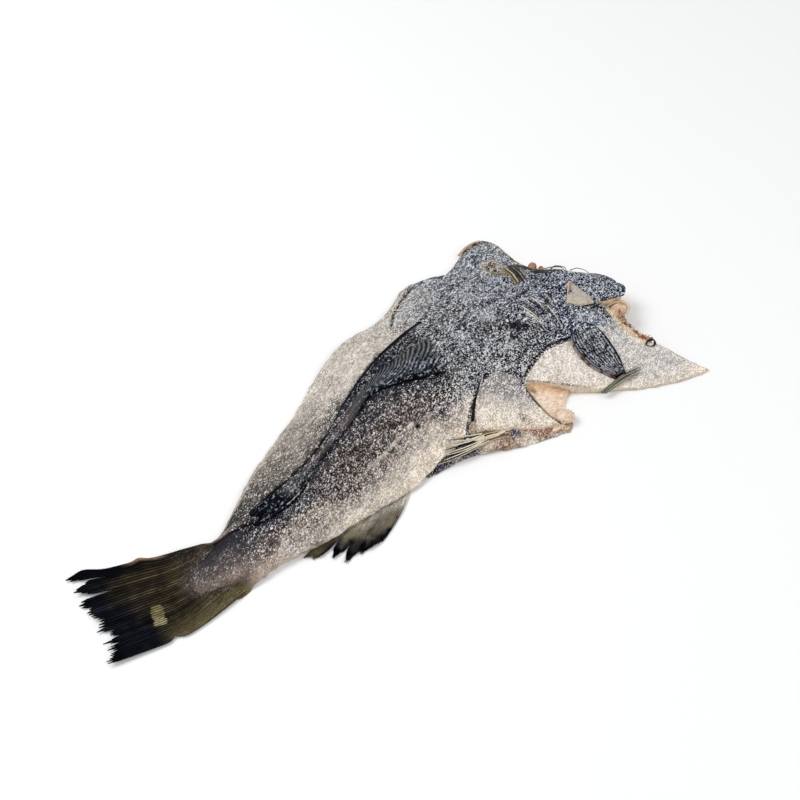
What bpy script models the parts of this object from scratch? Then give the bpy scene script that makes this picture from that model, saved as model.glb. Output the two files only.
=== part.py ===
"""A whole dried cod, split along the belly, without its head, lying skin side up.

+X runs from the tail to the shoulders, +Y to the far flank, +Z up. The origin is on the surface
it lies on, under the middle of its box. Every sheet of the fish is bent over one back shape, so
its skin, its torn belly flaps and its folded fins share the same rise from edge to back.
"""
import math

import bmesh
import bpy
from mathutils import Vector

NAME = "stockfish"

# The back line from the tail stalk to the nape, by distance along the fish.
BACK_Y = ((-0.238, -0.018), (-0.172, -0.041), (-0.105, -0.040), (-0.035, -0.013), (0.035, 0.005),
          (0.100, -0.010), (0.200, -0.002), (0.270, -0.004), (0.320, -0.010))
BACK_Z = ((-0.238, 0.006), (-0.172, 0.016), (-0.105, 0.023), (-0.035, 0.031), (0.035, 0.037),
          (0.100, 0.038), (0.200, 0.039), (0.270, 0.041), (0.320, 0.034))
# How far each flank reaches from the back line, and how it falls: under 1 is round, over 1 hollow.
NEAR_REACH = ((-0.238, 0.082), (-0.172, 0.050), (-0.105, 0.053), (-0.035, 0.078), (0.035, 0.092),
              (0.100, 0.100), (0.200, 0.115), (0.330, 0.135))
FAR_REACH = ((-0.238, 0.012), (-0.184, 0.014), (-0.150, 0.038), (-0.112, 0.060), (-0.045, 0.067),
             (-0.012, 0.077), (0.022, 0.092), (0.055, 0.106), (0.115, 0.126), (0.160, 0.134),
             (0.250, 0.148))
NEAR_FALL = ((0.000, 0.85), (0.100, 1.10), (0.200, 1.50), (0.330, 2.00))
FAR_FALL = ((-0.238, 0.90), (0.100, 0.85), (0.200, 1.10), (0.330, 1.30))
NEAR_BULGE = ((-0.238, 0.004), (-0.172, 0.005), (-0.035, 0.003), (0.100, 0.000))
EDGE_HEIGHT = 0.004
BACK_ROUNDING = 0.25

# The body skin: cross-sections from tail to nape as near edge, back and far edge.
BODY_NEAR = ((-0.238, -0.098), (-0.205, -0.095), (-0.172, -0.089), (-0.140, -0.087),
             (-0.105, -0.091), (-0.070, -0.090), (-0.035, -0.089), (0.000, -0.087),
             (0.038, -0.079), (0.073, -0.073), (0.097, -0.051), (0.118, -0.040),
             (0.140, -0.038), (0.157, -0.053), (0.185, -0.042), (0.228, -0.042),
             (0.262, -0.022), (0.277, -0.030), (0.279, -0.043))
BODY_BACK = ((-0.238, -0.018), (-0.205, -0.030), (-0.172, -0.041), (-0.140, -0.043),
             (-0.105, -0.040), (-0.070, -0.027), (-0.035, -0.013), (0.000, 0.000),
             (0.035, 0.005), (0.070, -0.005), (0.100, -0.012), (0.125, -0.010),
             (0.145, -0.006), (0.170, -0.003), (0.200, -0.002), (0.232, -0.003),
             (0.262, -0.003), (0.290, -0.006), (0.315, -0.012))
BODY_FAR = ((-0.238, -0.010), (-0.205, -0.022), (-0.184, -0.028), (-0.148, -0.006),
            (-0.112, 0.019), (-0.080, 0.035), (-0.045, 0.053), (-0.012, 0.074),
            (0.025, 0.094), (0.058, 0.105), (0.085, 0.105), (0.115, 0.114),
            (0.144, 0.130), (0.170, 0.127), (0.205, 0.105), (0.222, 0.080),
            (0.245, 0.053), (0.273, 0.031), (0.299, 0.015))
NAPE_BOW = 0.006
NAPE_DROP = 0.012
BODY_EDGE_THICKNESS = 0.006
# The flesh side is flat where the fish is low, and rises in a shallow hollow under its back.
HOLLOW_FROM = 0.018
HOLLOW_SHARE = 0.38
BACK_DENT = (0.180, -0.004, 0.024, 0.0025)

# Torn sheets, each as four sides: outer edge, inner edge, tail end and head end.
BELLY_FLAP = (((0.083, -0.076), (0.108, -0.087), (0.134, -0.099), (0.160, -0.110)),
              ((0.121, -0.034), (0.138, -0.026), (0.155, -0.030), (0.166, -0.044)),
              ((0.083, -0.076), (0.091, -0.061), (0.105, -0.047), (0.121, -0.034)),
              ((0.160, -0.110), (0.155, -0.089), (0.153, -0.068), (0.166, -0.044)))
SHOULDER_WING = (((0.156, -0.057), (0.175, -0.067), (0.195, -0.081), (0.212, -0.093),
                  (0.230, -0.104), (0.256, -0.119), (0.292, -0.134), (0.330, -0.1425)),
                 ((0.164, -0.042), (0.195, -0.026), (0.230, -0.024), (0.262, -0.008),
                  (0.283, -0.036)),
                 ((0.156, -0.057), (0.164, -0.042)),
                 ((0.330, -0.1425), (0.321, -0.121), (0.311, -0.098), (0.297, -0.080),
                  (0.287, -0.066), (0.283, -0.036)))
FAR_WING = (((0.168, 0.126), (0.188, 0.117), (0.210, 0.126), (0.231, 0.138), (0.254, 0.1435)),
            ((0.166, 0.104), (0.205, 0.084), (0.232, 0.050), (0.270, 0.018), (0.298, 0.006)),
            ((0.168, 0.126), (0.166, 0.104)),
            ((0.254, 0.1435), (0.264, 0.128), (0.263, 0.102), (0.262, 0.078), (0.269, 0.056),
             (0.284, 0.040), (0.298, 0.006)))
BELLY_LINING = (((0.085, -0.080), (0.122, -0.097), (0.158, -0.114), (0.177, -0.104),
                 (0.182, -0.091), (0.196, -0.082), (0.216, -0.080), (0.236, -0.078)),
                ((0.092, -0.045), (0.120, -0.030), (0.155, -0.034), (0.200, -0.028),
                 (0.236, -0.030)),
                ((0.085, -0.080), (0.092, -0.045)),
                ((0.236, -0.078), (0.236, -0.030)))
BELLY_RIM = (((0.018, -0.084), (0.049, -0.086), (0.075, -0.091), (0.105, -0.104),
              (0.133, -0.112), (0.164, -0.120)),
             ((0.018, -0.070), (0.050, -0.064), (0.080, -0.062), (0.110, -0.074),
              (0.140, -0.088), (0.170, -0.104)),
             ((0.018, -0.084), (0.018, -0.070)),
             ((0.164, -0.120), (0.174, -0.113), (0.170, -0.104)))

# Fins, as base line and free edge.
TAIL_ROOT = ((-0.205, -0.090), (-0.210, -0.062), (-0.205, -0.036))
TAIL_END = ((-0.330, -0.086), (-0.327, -0.045), (-0.318, 0.013))
TAIL_LOWER = ((-0.205, -0.090), (-0.245, -0.099), (-0.273, -0.097), (-0.330, -0.086))
TAIL_UPPER = ((-0.205, -0.036), (-0.232, -0.009), (-0.258, -0.001), (-0.286, 0.005), (-0.318, 0.013))
TAIL_THICKNESS = 0.0025
TAIL_RAY_COUNT = 26
TAIL_TEAR_DEPTH = 0.013
LAST_DORSAL = (((-0.158, -0.043), (-0.130, -0.044), (-0.099, -0.041), (-0.078, -0.031)),
               ((-0.150, -0.027), (-0.130, -0.024), (-0.098, -0.022), (-0.072, -0.015)),
               ((-0.158, -0.043), (-0.150, -0.027)),
               ((-0.078, -0.031), (-0.072, -0.015)))
MIDDLE_DORSAL = (((-0.076, -0.028), (-0.027, -0.012), (0.025, 0.007), (0.060, -0.005),
                  (0.108, -0.018)),
                 ((-0.074, -0.018), (-0.037, -0.001), (0.005, 0.026), (0.059, 0.052),
                  (0.112, 0.056)),
                 ((-0.076, -0.028), (-0.074, -0.018)),
                 ((0.108, -0.018), (0.122, 0.008), (0.126, 0.036), (0.112, 0.056)))
DORSAL_RISE = 0.0025
ANAL_BASE = ((-0.130, -0.078), (-0.089, -0.080), (-0.045, -0.078), (-0.004, -0.077))
ANAL_END = ((-0.124, -0.099), (-0.093, -0.120), (-0.058, -0.118), (-0.004, -0.092))
ANAL_RAY_COUNT = 18
ANAL_TEAR_DEPTH = 0.012
FIN_THICKNESS = 0.002
NEAR_PECTORAL = (((0.233, -0.034), (0.222, -0.055), (0.226, -0.079), (0.240, -0.100)),
                 ((0.256, -0.043), (0.259, -0.062), (0.256, -0.083), (0.250, -0.101)),
                 ((0.233, -0.034), (0.256, -0.043)),
                 ((0.240, -0.100), (0.250, -0.101)))
PECTORAL_RISE = 0.003
NAPE_TRIANGLE = (((0.248, -0.010), (0.268, 0.010)), ((0.257, -0.021), (0.272, -0.024)),
                 ((0.248, -0.010), (0.257, -0.021)), ((0.268, 0.010), (0.272, -0.024)))

# Stiff rays as start, end, and radius, with their height over the back shape.
FIRST_DORSAL_RAYS = (((0.214, 0.020), (0.211, -0.014)), ((0.221, 0.015), (0.214, -0.023)),
                     ((0.227, 0.008), (0.219, -0.024)), ((0.233, 0.004), (0.228, -0.029)),
                     ((0.240, 0.012), (0.233, -0.008)))
PELVIC_RAYS = (((0.281, -0.101), (0.217, -0.104)), ((0.277, -0.107), (0.223, -0.108)))
RAY_RADIUS = 0.0012
# Lumps of dried flesh at the nape, the far collar and the belly, as centre and half sizes.
FLESH_LUMPS = (((0.300, -0.031, 0.021), (0.014, 0.009, 0.008)),
               ((0.266, 0.069, 0.016), (0.011, 0.008, 0.007)),
               ((0.171, -0.108, 0.005), (0.008, 0.009, 0.0045)),
               ((0.113, -0.096, 0.007), (0.007, 0.007, 0.005)))


def follow(line, x):
    """Value at x of a smooth line through (x, value) pairs that never overshoots them."""
    if x <= line[0][0]:
        return line[0][1]
    if x >= line[-1][0]:
        return line[-1][1]
    k = max(i for i in range(len(line) - 1) if line[i][0] <= x)
    grades = [(b[1] - a[1]) / (b[0] - a[0]) for a, b in zip(line, line[1:])]

    def slope(i):
        if i == 0 or i == len(line) - 1:
            return grades[min(i, len(grades) - 1)]
        before, after = grades[i - 1], grades[i]
        return 0.0 if before * after <= 0 else 2 * before * after / (before + after)

    span = line[k + 1][0] - line[k][0]
    t = (x - line[k][0]) / span
    return ((2 * t ** 3 - 3 * t ** 2 + 1) * line[k][1] + (t ** 3 - 2 * t ** 2 + t) * span * slope(k)
            + (3 * t ** 2 - 2 * t ** 3) * line[k + 1][1] + (t ** 3 - t ** 2) * span * slope(k + 1))


def along(points, t):
    """Point at t, from 0 to 1, of a smooth curve through evenly spaced points."""
    last = len(points) - 1
    k = min(int(t * last), last - 1)
    f = t * last - k
    before = points[k - 1] if k else [2 * a - b for a, b in zip(points[0], points[1])]
    after = points[k + 2] if k + 2 <= last else [2 * a - b for a, b in zip(points[-1], points[-2])]
    return [0.5 * (2 * b + (c - a) * f + (2 * a - 5 * b + 4 * c - d) * f ** 2
                   + (3 * b - a - 3 * c + d) * f ** 3)
            for a, b, c, d in zip(before, points[k], points[k + 1], after)]


def mix(a, b, t):
    return [p + (q - p) * t for p, q in zip(a, b)]


def patch(sides, u, v):
    """Plan point of a sheet between four sides: outer, inner, tail end and head end."""
    outer, inner, tail, head = sides
    across = mix(along(outer, u), along(inner, u), v)
    lengthwise = mix(along(tail, v), along(head, v), u)
    flat = mix(mix(outer[0], outer[-1], u), mix(inner[0], inner[-1], u), v)
    return [a + b - c for a, b, c in zip(across, lengthwise, flat)]


def ramp(t):
    """0 to 1 with soft ends."""
    t = min(1.0, max(0.0, t))
    return t * t * (3 - 2 * t)


def back_height(x, y):
    """Height of the fish's outer surface over a plan point."""
    away = y - follow(BACK_Y, x)
    near = away < 0
    reach = follow(NEAR_REACH if near else FAR_REACH, x)
    fall = follow(NEAR_FALL if near else FAR_FALL, x)
    u = min(1.0, abs(away) / reach)
    u = ((math.hypot(u, BACK_ROUNDING) - BACK_ROUNDING)
         / (math.hypot(1.0, BACK_ROUNDING) - BACK_ROUNDING))
    z = EDGE_HEIGHT + (follow(BACK_Z, x) - EDGE_HEIGHT) * (1 - u) ** fall
    return z + (follow(NEAR_BULGE, x) * 4 * u * (1 - u) if near else 0.0)


def underside(z):
    """Height of the flesh side where the skin side is at z."""
    return HOLLOW_SHARE * (z - HOLLOW_FROM)


def body_place(u, v):
    """Body: u runs from tail to nape, v from the near edge over the back to the far edge."""
    side = 2 * v - 1
    x, y = mix(along(BODY_BACK, u), along(BODY_FAR if side > 0 else BODY_NEAR, u), abs(side))
    x += NAPE_BOW * ramp(10 * u - 9) * 4 * abs(side) * (1 - abs(side))
    dent_x, dent_y, radius, depth = BACK_DENT
    z = back_height(x, y) - depth * math.exp(-((x - dent_x) ** 2 + (y - dent_y) ** 2) / radius ** 2)
    z -= NAPE_DROP * ramp(16 * u - 15) * (0.4 + 0.6 * v)
    return x, y, min(z - BODY_EDGE_THICKNESS, underside(z)), z


def draped(sides, rise, thickness, backed=False):
    """A sheet bent over the back shape, lifted by rise(u, v). A backed one reaches the flesh side."""
    def place(u, v):
        x, y = patch(sides, u, v)
        z = max(0.0025, back_height(x, y) + rise(u, v))
        bottom = z - thickness
        return x, y, min(bottom, underside(z)) if backed else bottom, z
    return place


def torn(rays, depth, seed):
    """How far each ray's end falls short of the fin's full length, the same on every run."""
    return [depth * (0.5 + 0.5 * math.sin(seed + 2.3 * k * k + 1.7 * k)) ** 2 for k in range(rays + 1)]


def tail_place(u, v):
    """Tail fin: u runs over the rays from the lower edge up, v from the stalk to the ragged end."""
    x, y = patch((TAIL_ROOT, TAIL_END, TAIL_LOWER, TAIL_UPPER), u, v)
    tears = torn(TAIL_RAY_COUNT, TAIL_TEAR_DEPTH, 0.4)
    x += tears[round(u * TAIL_RAY_COUNT)] * ramp(2 * v - 1) * math.sin(math.pi * min(1, 0.12 + u)) ** 0.3
    curl = 0.004 * v ** 2 * (0.5 + 0.5 * math.sin(7 * u))
    return x, y, 0.0006 + curl, 0.0006 + TAIL_THICKNESS + curl


def anal_place(u, v):
    """Rear anal fin: u runs along its base towards the head, v out to the ragged edge."""
    x, y = mix(along(ANAL_BASE, u), along(ANAL_END, u), v)
    tears = torn(ANAL_RAY_COUNT, ANAL_TEAR_DEPTH, 1.9)
    y += tears[round(u * ANAL_RAY_COUNT)] * ramp(2 * v - 1) * (1 - u ** 2)
    x -= 0.006 * v * v
    return x, y, 0.0006, 0.0006 + FIN_THICKNESS


def sheet(name, columns, rows, place, clearance=0.0):
    """A closed sheet. place(u, v) gives its plan point, its lower and its upper height."""
    bm = bmesh.new()
    bmesh.ops.create_grid(bm, x_segments=columns, y_segments=rows, size=0.5)
    lower = set(bm.verts)
    bmesh.ops.extrude_face_region(bm, geom=bm.faces[:])
    for vert in bm.verts:
        x, y, bottom, top = place(vert.co.x + 0.5, vert.co.y + 0.5)
        vert.co = (x, y, max(clearance, bottom) if vert in lower else top)
    bmesh.ops.recalc_face_normals(bm, faces=bm.faces[:])
    return as_object(name, bm)


def ray(name, start, end, radius):
    """A tapering stiff ray from start to end, both plan points on the back shape."""
    first = Vector((*start, back_height(*start) + radius * 0.3))
    last = Vector((*end, back_height(*end) + radius * 0.9))
    bm = bmesh.new()
    bmesh.ops.create_cone(bm, cap_ends=True, segments=6, radius1=radius, radius2=radius * 0.6,
                          depth=(last - first).length)
    bmesh.ops.rotate(bm, verts=bm.verts, matrix=(last - first).to_track_quat("Z", "Y").to_matrix())
    bmesh.ops.translate(bm, verts=bm.verts, vec=(first + last) / 2)
    return as_object(name, bm)


def lump(name, centre, half_sizes):
    """An uneven lump of flesh."""
    bm = bmesh.new()
    bmesh.ops.create_icosphere(bm, subdivisions=2, radius=1.0)
    for vert in bm.verts:
        vert.co *= 1 + 0.16 * math.sin(5 * vert.co.x + 3 * vert.co.y) * math.cos(4 * vert.co.z + 1)
    bmesh.ops.scale(bm, verts=bm.verts, vec=half_sizes)
    bmesh.ops.translate(bm, verts=bm.verts, vec=centre)
    return as_object(name, bm)


def as_object(name, bm):
    mesh = bpy.data.meshes.new(name)
    bm.to_mesh(mesh)
    bm.free()
    return bpy.data.objects.new(name, mesh)


def dried_skin():
    material = bpy.data.materials.new("dried skin")
    material.use_nodes = True
    shader = material.node_tree.nodes["Principled BSDF"]
    shader.inputs["Base Color"].default_value = (0.24, 0.22, 0.22, 1.0)
    shader.inputs["Roughness"].default_value = 0.75
    shader.inputs["Metallic"].default_value = 0.0
    return material


def lining_rise(u, v):
    return -0.006 + 0.003 * v


def rim_rise(u, v):
    return -0.002 - 0.001 * v


def flap_rise(u, v):
    return -0.0008 * v


def shoulder_rise(u, v):
    """A little proud of the flank, and tucked under the nape at its inner head corner."""
    return 0.001 * (1 - v) * (1 - u) - 0.0008 - 0.004 * ramp(2 * v - 1) * ramp(4 * u - 3)


def far_wing_rise(u, v):
    return -0.001 - 0.006 * ramp(2.2 * u - 0.5) * ramp(1.6 * v)


def folded_fin_rise(u, v):
    return DORSAL_RISE * ramp(4 * v)


def pectoral_rise(u, v):
    return PECTORAL_RISE * ramp(3 * u)


def triangle_rise(u, v):
    return 0.002


def build_pieces():
    """Every sheet, fin, ray and lump that is one with the body."""
    pieces = [
        sheet("belly lining", 14, 5, draped(BELLY_LINING, lining_rise, 0.005, True), 0.0005),
        sheet("belly rim", 14, 2, draped(BELLY_RIM, rim_rise, 0.006, True), 0.0007),
        sheet("belly flap", 9, 6, draped(BELLY_FLAP, flap_rise, 0.0075, True), 0.0009),
        sheet("shoulder wing", 18, 9, draped(SHOULDER_WING, shoulder_rise, 0.0065, True), 0.0011),
        sheet("far wing", 12, 5, draped(FAR_WING, far_wing_rise, 0.006, True), 0.0006),
        sheet("tail fin", TAIL_RAY_COUNT, 5, tail_place),
        sheet("rear anal fin", ANAL_RAY_COUNT, 4, anal_place),
        sheet("last dorsal fin", 10, 3, draped(LAST_DORSAL, folded_fin_rise, 0.005)),
        sheet("middle dorsal fin", 16, 3, draped(MIDDLE_DORSAL, folded_fin_rise, 0.005)),
        sheet("near pectoral fin", 6, 4, draped(NEAR_PECTORAL, pectoral_rise, 0.0045)),
        sheet("nape triangle", 3, 3, draped(NAPE_TRIANGLE, triangle_rise, 0.004)),
    ]
    for k, (start, end) in enumerate(FIRST_DORSAL_RAYS + PELVIC_RAYS):
        pieces.append(ray(f"ray {k + 1}", start, end, RAY_RADIUS))
    for k, (centre, half_sizes) in enumerate(FLESH_LUMPS):
        pieces.append(lump(f"flesh lump {k + 1}", centre, half_sizes))
    return pieces


def main():
    for obj in list(bpy.data.objects):
        bpy.data.objects.remove(obj, do_unlink=True)
    scene_collection = bpy.context.scene.collection
    fish = bpy.data.collections.new(NAME)
    joined = bpy.data.collections.new("joined pieces")
    scene_collection.children.link(fish)
    scene_collection.children.link(joined)

    body = sheet(NAME, 58, 20, body_place)
    body.data.materials.append(dried_skin())
    fish.objects.link(body)
    for piece in build_pieces():
        piece.hide_render = True
        piece.display_type = "WIRE"
        joined.objects.link(piece)
        union = body.modifiers.new(piece.name, "BOOLEAN")
        union.operation = "UNION"
        union.solver = "EXACT"
        union.object = piece


main()
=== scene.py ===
"""The looks of a whole dried cod, split and laid skin side up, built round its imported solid.

+X runs from the tail to the shoulders, +Y to the far flank and +Z up from the surface it lies on.
Every sheet of the fish is bent over one back shape, so that its skin, its torn belly flaps and its
folded fins rise together from edge to back. Skin lies as a thin sheet on the flesh below it.
"""
import math
import random

import bmesh
import bpy
import numpy as np
from bpy.props import FloatProperty, FloatVectorProperty, IntProperty, PointerProperty
from mathutils import Matrix, Vector

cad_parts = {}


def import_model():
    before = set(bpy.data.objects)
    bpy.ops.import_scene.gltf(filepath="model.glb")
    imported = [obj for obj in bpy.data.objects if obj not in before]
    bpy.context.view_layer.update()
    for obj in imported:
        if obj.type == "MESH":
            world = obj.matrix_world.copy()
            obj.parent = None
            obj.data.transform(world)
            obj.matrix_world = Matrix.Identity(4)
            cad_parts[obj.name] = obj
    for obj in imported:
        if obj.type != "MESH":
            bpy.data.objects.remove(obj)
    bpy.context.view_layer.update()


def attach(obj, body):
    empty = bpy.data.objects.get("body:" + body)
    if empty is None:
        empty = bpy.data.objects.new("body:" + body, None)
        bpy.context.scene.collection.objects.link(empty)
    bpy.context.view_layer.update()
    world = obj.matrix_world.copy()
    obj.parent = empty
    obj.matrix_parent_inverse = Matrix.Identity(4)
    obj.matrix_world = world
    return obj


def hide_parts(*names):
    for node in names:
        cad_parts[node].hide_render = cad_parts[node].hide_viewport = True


bl_info = {
    "name": "Dried Cod",
    "version": (1, 0, 0),
    "blender": (4, 5, 0),
    "location": "3D View > Sidebar > Dried Cod",
    "description": "Builds a whole split and dried cod, one piece at a time",
    "category": "Add Mesh",
}

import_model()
SOLID = "stockfish"
BODY = "root"


def mm(measures):
    """Millimetres, nested however deep, as metres. Measures outside it are in metres."""
    return tuple(mm(each) for each in measures) if isinstance(measures, tuple) else measures / 1000


# ----- The back shape -----

# The back line from the tail stalk to the nape, by distance along the fish.
BACK_Y = mm((
    (-238, -18), (-172, -41), (-105, -40), (-35, -13), (35, 5), (100, -10), (200, -2), (270, -4),
    (320, -10)))
BACK_Z = mm((
    (-238, 6), (-172, 16), (-105, 23), (-35, 31), (35, 37), (100, 38), (200, 39), (270, 41), (320, 34)))
# How far each flank reaches from the back line, and how it falls: under 1 is round, over 1 hollow.
NEAR_REACH = mm((
    (-238, 82), (-172, 50), (-105, 53), (-35, 78), (35, 92), (100, 100), (200, 115), (330, 135)))
FAR_REACH = mm((
    (-238, 12), (-184, 14), (-150, 38), (-112, 60), (-45, 67), (-12, 77), (22, 92), (55, 106), (115, 126),
    (160, 134), (250, 148)))
NEAR_FALL = ((0.0, 0.85), (0.1, 1.1), (0.2, 1.5), (0.33, 2.0))
FAR_FALL = ((-0.238, 0.9), (0.1, 0.85), (0.2, 1.1), (0.33, 1.3))
NEAR_BULGE = mm(((-238, 4), (-172, 5), (-35, 3), (100, 0)))
EDGE_HEIGHT = 0.004
BACK_ROUNDING = 0.25

# The body: cross-sections from tail to nape as near edge, back and far edge.
BODY_NEAR = mm((
    (-238, -98), (-205, -95), (-172, -89), (-140, -87), (-105, -91), (-70, -90), (-35, -89), (0, -87),
    (38, -79), (73, -73), (97, -51), (118, -40), (140, -38), (157, -53), (185, -42), (228, -42),
    (258, -20.5), (285, -28), (311, -29)))
BODY_BACK = mm((
    (-238, -18), (-205, -30), (-172, -41), (-140, -43), (-105, -40), (-70, -27), (-35, -13), (0, 0),
    (35, 5), (70, -5), (100, -12), (125, -10), (145, -6), (170, -3), (200, -2), (232, -3), (262, -3),
    (290, -6), (315, -12)))
BODY_FAR = mm((
    (-238, -10), (-205, -22), (-184, -28), (-148, -6), (-112, 19), (-80, 35), (-45, 53), (-12, 74),
    (25, 94), (58, 105), (85, 105), (115, 114), (144, 130), (170, 127), (205, 105), (222, 80), (245, 53),
    (273, 31), (299, 15)))
NAPE_BOW = 0.006
NAPE_DROP = 0.005
BODY_EDGE_THICKNESS = 0.006
HOLLOW_FROM = 0.018
HOLLOW_SHARE = 0.38
BACK_DENT = (0.18, -0.004, 0.024, 0.0025)

# Torn sheets, each as four sides: outer edge, inner edge, tail end and head end.
BELLY_FLAP = mm((
    ((83, -76), (108, -87), (134, -99), (160, -110)),
    ((121, -34), (138, -26), (155, -30), (166, -44)),
    ((83, -76), (91, -61), (105, -47), (121, -34)),
    ((160, -110), (155, -89), (153, -68), (166, -44))))
SHOULDER_WING = mm((
    ((156, -57), (175, -67), (195, -81), (212, -93), (230, -104), (256, -119), (292, -134),
        (330, -142.5)),
    ((164, -42), (195, -26), (230, -24), (262, -8), (290, -38)),
    ((156, -57), (164, -42)),
    ((330, -142.5), (321, -121), (311, -98), (298.5, -80), (292, -63), (289.5, -50), (290, -38))))
FAR_WING = mm((
    ((168, 126), (188, 117), (210, 126), (231, 138), (254, 143.5)),
    ((166, 104), (205, 84), (232, 50), (270, 18), (298, 6)),
    ((168, 126), (166, 104)),
    ((254, 143.5), (264, 128), (263, 102), (262, 78), (269, 56), (284, 40), (298, 6))))
BELLY_LINING = mm((
    ((85, -80), (122, -97), (158, -114), (177, -104), (182, -91), (196, -82), (216, -80), (236, -78)),
    ((92, -45), (120, -30), (155, -34), (200, -28), (236, -30)),
    ((85, -80), (92, -45)),
    ((236, -78), (236, -30))))
BELLY_RIM = mm((
    ((18, -84), (49, -86), (75, -91), (105, -104), (133, -112), (164, -120)),
    ((18, -70), (50, -64), (80, -62), (110, -74), (140, -88), (170, -104)),
    ((18, -84), (18, -70)),
    ((164, -120), (174, -113), (170, -104))))

# Fins, as base line and free edge.
TAIL_ROOT = mm(((-190, -91), (-196, -61), (-190, -29)))
TAIL_END = mm(((-330, -86), (-327, -45), (-318, 15.5)))
TAIL_LOWER = mm(((-190, -91), (-245, -99), (-273, -97), (-330, -86)))
TAIL_UPPER = mm(((-190, -29), (-222, -18.5), (-254, -4.5), (-286, 6), (-318, 15.5)))
# How far the tail's torn end reaches, by share of the way from its lower to its upper edge.
TAIL_REACH = (
    (0.0, 0.329), (0.03, 0.331), (0.08, 0.324), (0.13, 0.3253), (0.162, 0.3205), (0.206, 0.325),
    (0.24, 0.3165), (0.276, 0.3255), (0.31, 0.3155), (0.4, 0.315), (0.43, 0.3145), (0.447, 0.3235),
    (0.47, 0.3195), (0.55, 0.316), (0.61, 0.319), (0.664, 0.3205), (0.7, 0.317), (0.744, 0.3225),
    (0.79, 0.315), (0.802, 0.31), (0.835, 0.314), (0.862, 0.3205), (0.89, 0.313), (0.915, 0.303),
    (0.935, 0.31), (0.965, 0.3145), (1.0, 0.3185))
# Slits in the tail's end: share across, where along the fin each begins, and how far it opens.
TAIL_SLITS = (
    (0.162, 0.93, 0.006), (0.24, 0.92, 0.008), (0.312, 0.9, 0.009), (0.425, 0.93, 0.008),
    (0.47, 0.95, 0.006), (0.7, 0.94, 0.006), (0.802, 0.7, 0.017), (0.893, 0.93, 0.005),
    (0.917, 0.62, 0.012))
LAST_DORSAL = mm((
    ((-161, -45.5), (-132, -48.5), (-104, -45.5), (-76, -31.5)),
    ((-146, -27.5), (-128, -25), (-108, -22.5), (-85, -17.5)),
    ((-161, -45.5), (-151, -43), (-143.5, -39.5), (-149, -33), (-146, -27.5)),
    ((-76, -31.5), (-85, -17.5))))
MIDDLE_DORSAL = mm((
    ((-90, -35), (-52, -20), (-14, -7), (18, 6), (46, 1), (76, -11), (106, -20)),
    ((-84, -20), (-52, -9), (-16, 14), (20, 34), (58, 52), (92, 64), (121, 70)),
    ((-90, -35), (-84, -20)),
    ((106, -20), (122, 6), (129, 34), (121, 70))))
DORSAL_RISE = 0.0025
ANAL_BASE = mm(((-86, -80), (-56, -80), (-26, -79), (6, -79)))
ANAL_END = mm(((-129, -90.5), (-122, -100), (-111, -109), (-102.6, -118), (-86, -119), (-60, -119)))
ANAL_REACH = (
    (0.0, 1.0), (0.1, 0.93), (0.2, 1.0), (0.27, 0.8), (0.33, 0.82), (0.4, 1.0), (0.46, 0.86),
    (0.52, 0.84), (0.6, 1.03), (0.68, 0.96), (0.8, 0.97), (0.9, 1.01), (1.0, 0.97))
ANAL_SLITS = ((0.12, 0.85, 0.01), (0.29, 0.5, 0.034), (0.49, 0.68, 0.022), (0.72, 0.86, 0.01))
NEAR_PECTORAL = mm((
    ((232, -36), (223, -53), (226, -76), (240, -99)),
    ((257, -42), (260, -60), (259, -82), (253, -101)),
    ((232, -36), (245, -33), (257, -42)),
    ((240, -99), (253, -101))))
PECTORAL_RISE = 0.003
NAPE_TRIANGLE = mm((
    ((247, -11), (258, 1), (268, 11)),
    ((257, -21), (272, -25)),
    ((247, -11), (252, -16), (257, -21)),
    ((268, 11), (269, -4), (272, -25))))


def ramp(t):
    """0 to 1 with soft ends."""
    t = np.clip(t, 0.0, 1.0)
    return t * t * (3 - 2 * t)


def follow(line, x):
    """Values at x of a smooth line through (x, value) pairs that never overshoots them."""
    xs, values = np.array(line, float).T
    grades = np.diff(values) / np.diff(xs)
    left, right = grades[:-1], grades[1:]
    total = np.where(left * right > 0, left + right, 1.0)
    inner = np.where(left * right > 0, 2 * left * right / total, 0.0)
    slopes = np.concatenate((grades[:1], inner, grades[-1:]))
    k = np.clip(np.searchsorted(xs, x, side="right") - 1, 0, len(xs) - 2)
    span = xs[k + 1] - xs[k]
    t = np.clip((x - xs[k]) / span, 0.0, 1.0)
    return ((2 * t ** 3 - 3 * t ** 2 + 1) * values[k] + (t ** 3 - 2 * t ** 2 + t) * span * slopes[k]
        + (3 * t ** 2 - 2 * t ** 3) * values[k + 1] + (t ** 3 - t ** 2) * span * slopes[k + 1])


def along(points, t):
    """Plan points at t, from 0 to 1, of a smooth curve through evenly spaced points."""
    p = np.array(points, float)
    p = np.vstack((2 * p[0] - p[1], p, 2 * p[-1] - p[-2]))
    last = len(points) - 1
    t = np.asarray(t, float)
    k = np.clip((t * last).astype(int), 0, last - 1)
    f = (t * last - k)[:, None]
    a, b, c, d = p[k], p[k + 1], p[k + 2], p[k + 3]
    return 0.5 * (2 * b + (c - a) * f + (2 * a - 5 * b + 4 * c - d) * f ** 2
        + (3 * b - a - 3 * c + d) * f ** 3)


def mix(a, b, t):
    """From a, where t is 0, to b, where it is 1."""
    t = np.asarray(t, float)
    return a + (b - a) * (t[:, None] if t.ndim else t)


def patch(sides, u, v):
    """Plan points of a sheet between four sides: outer, inner, tail end and head end."""
    outer, inner, tail, head = sides
    across = mix(along(outer, u), along(inner, u), v)
    lengthwise = mix(along(tail, v), along(head, v), u)
    corners = [np.array(side[end]) for side in (outer, inner) for end in (0, -1)]
    flat = mix(mix(corners[0], corners[1], u), mix(corners[2], corners[3], u), v)
    return (across + lengthwise - flat).T


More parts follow.
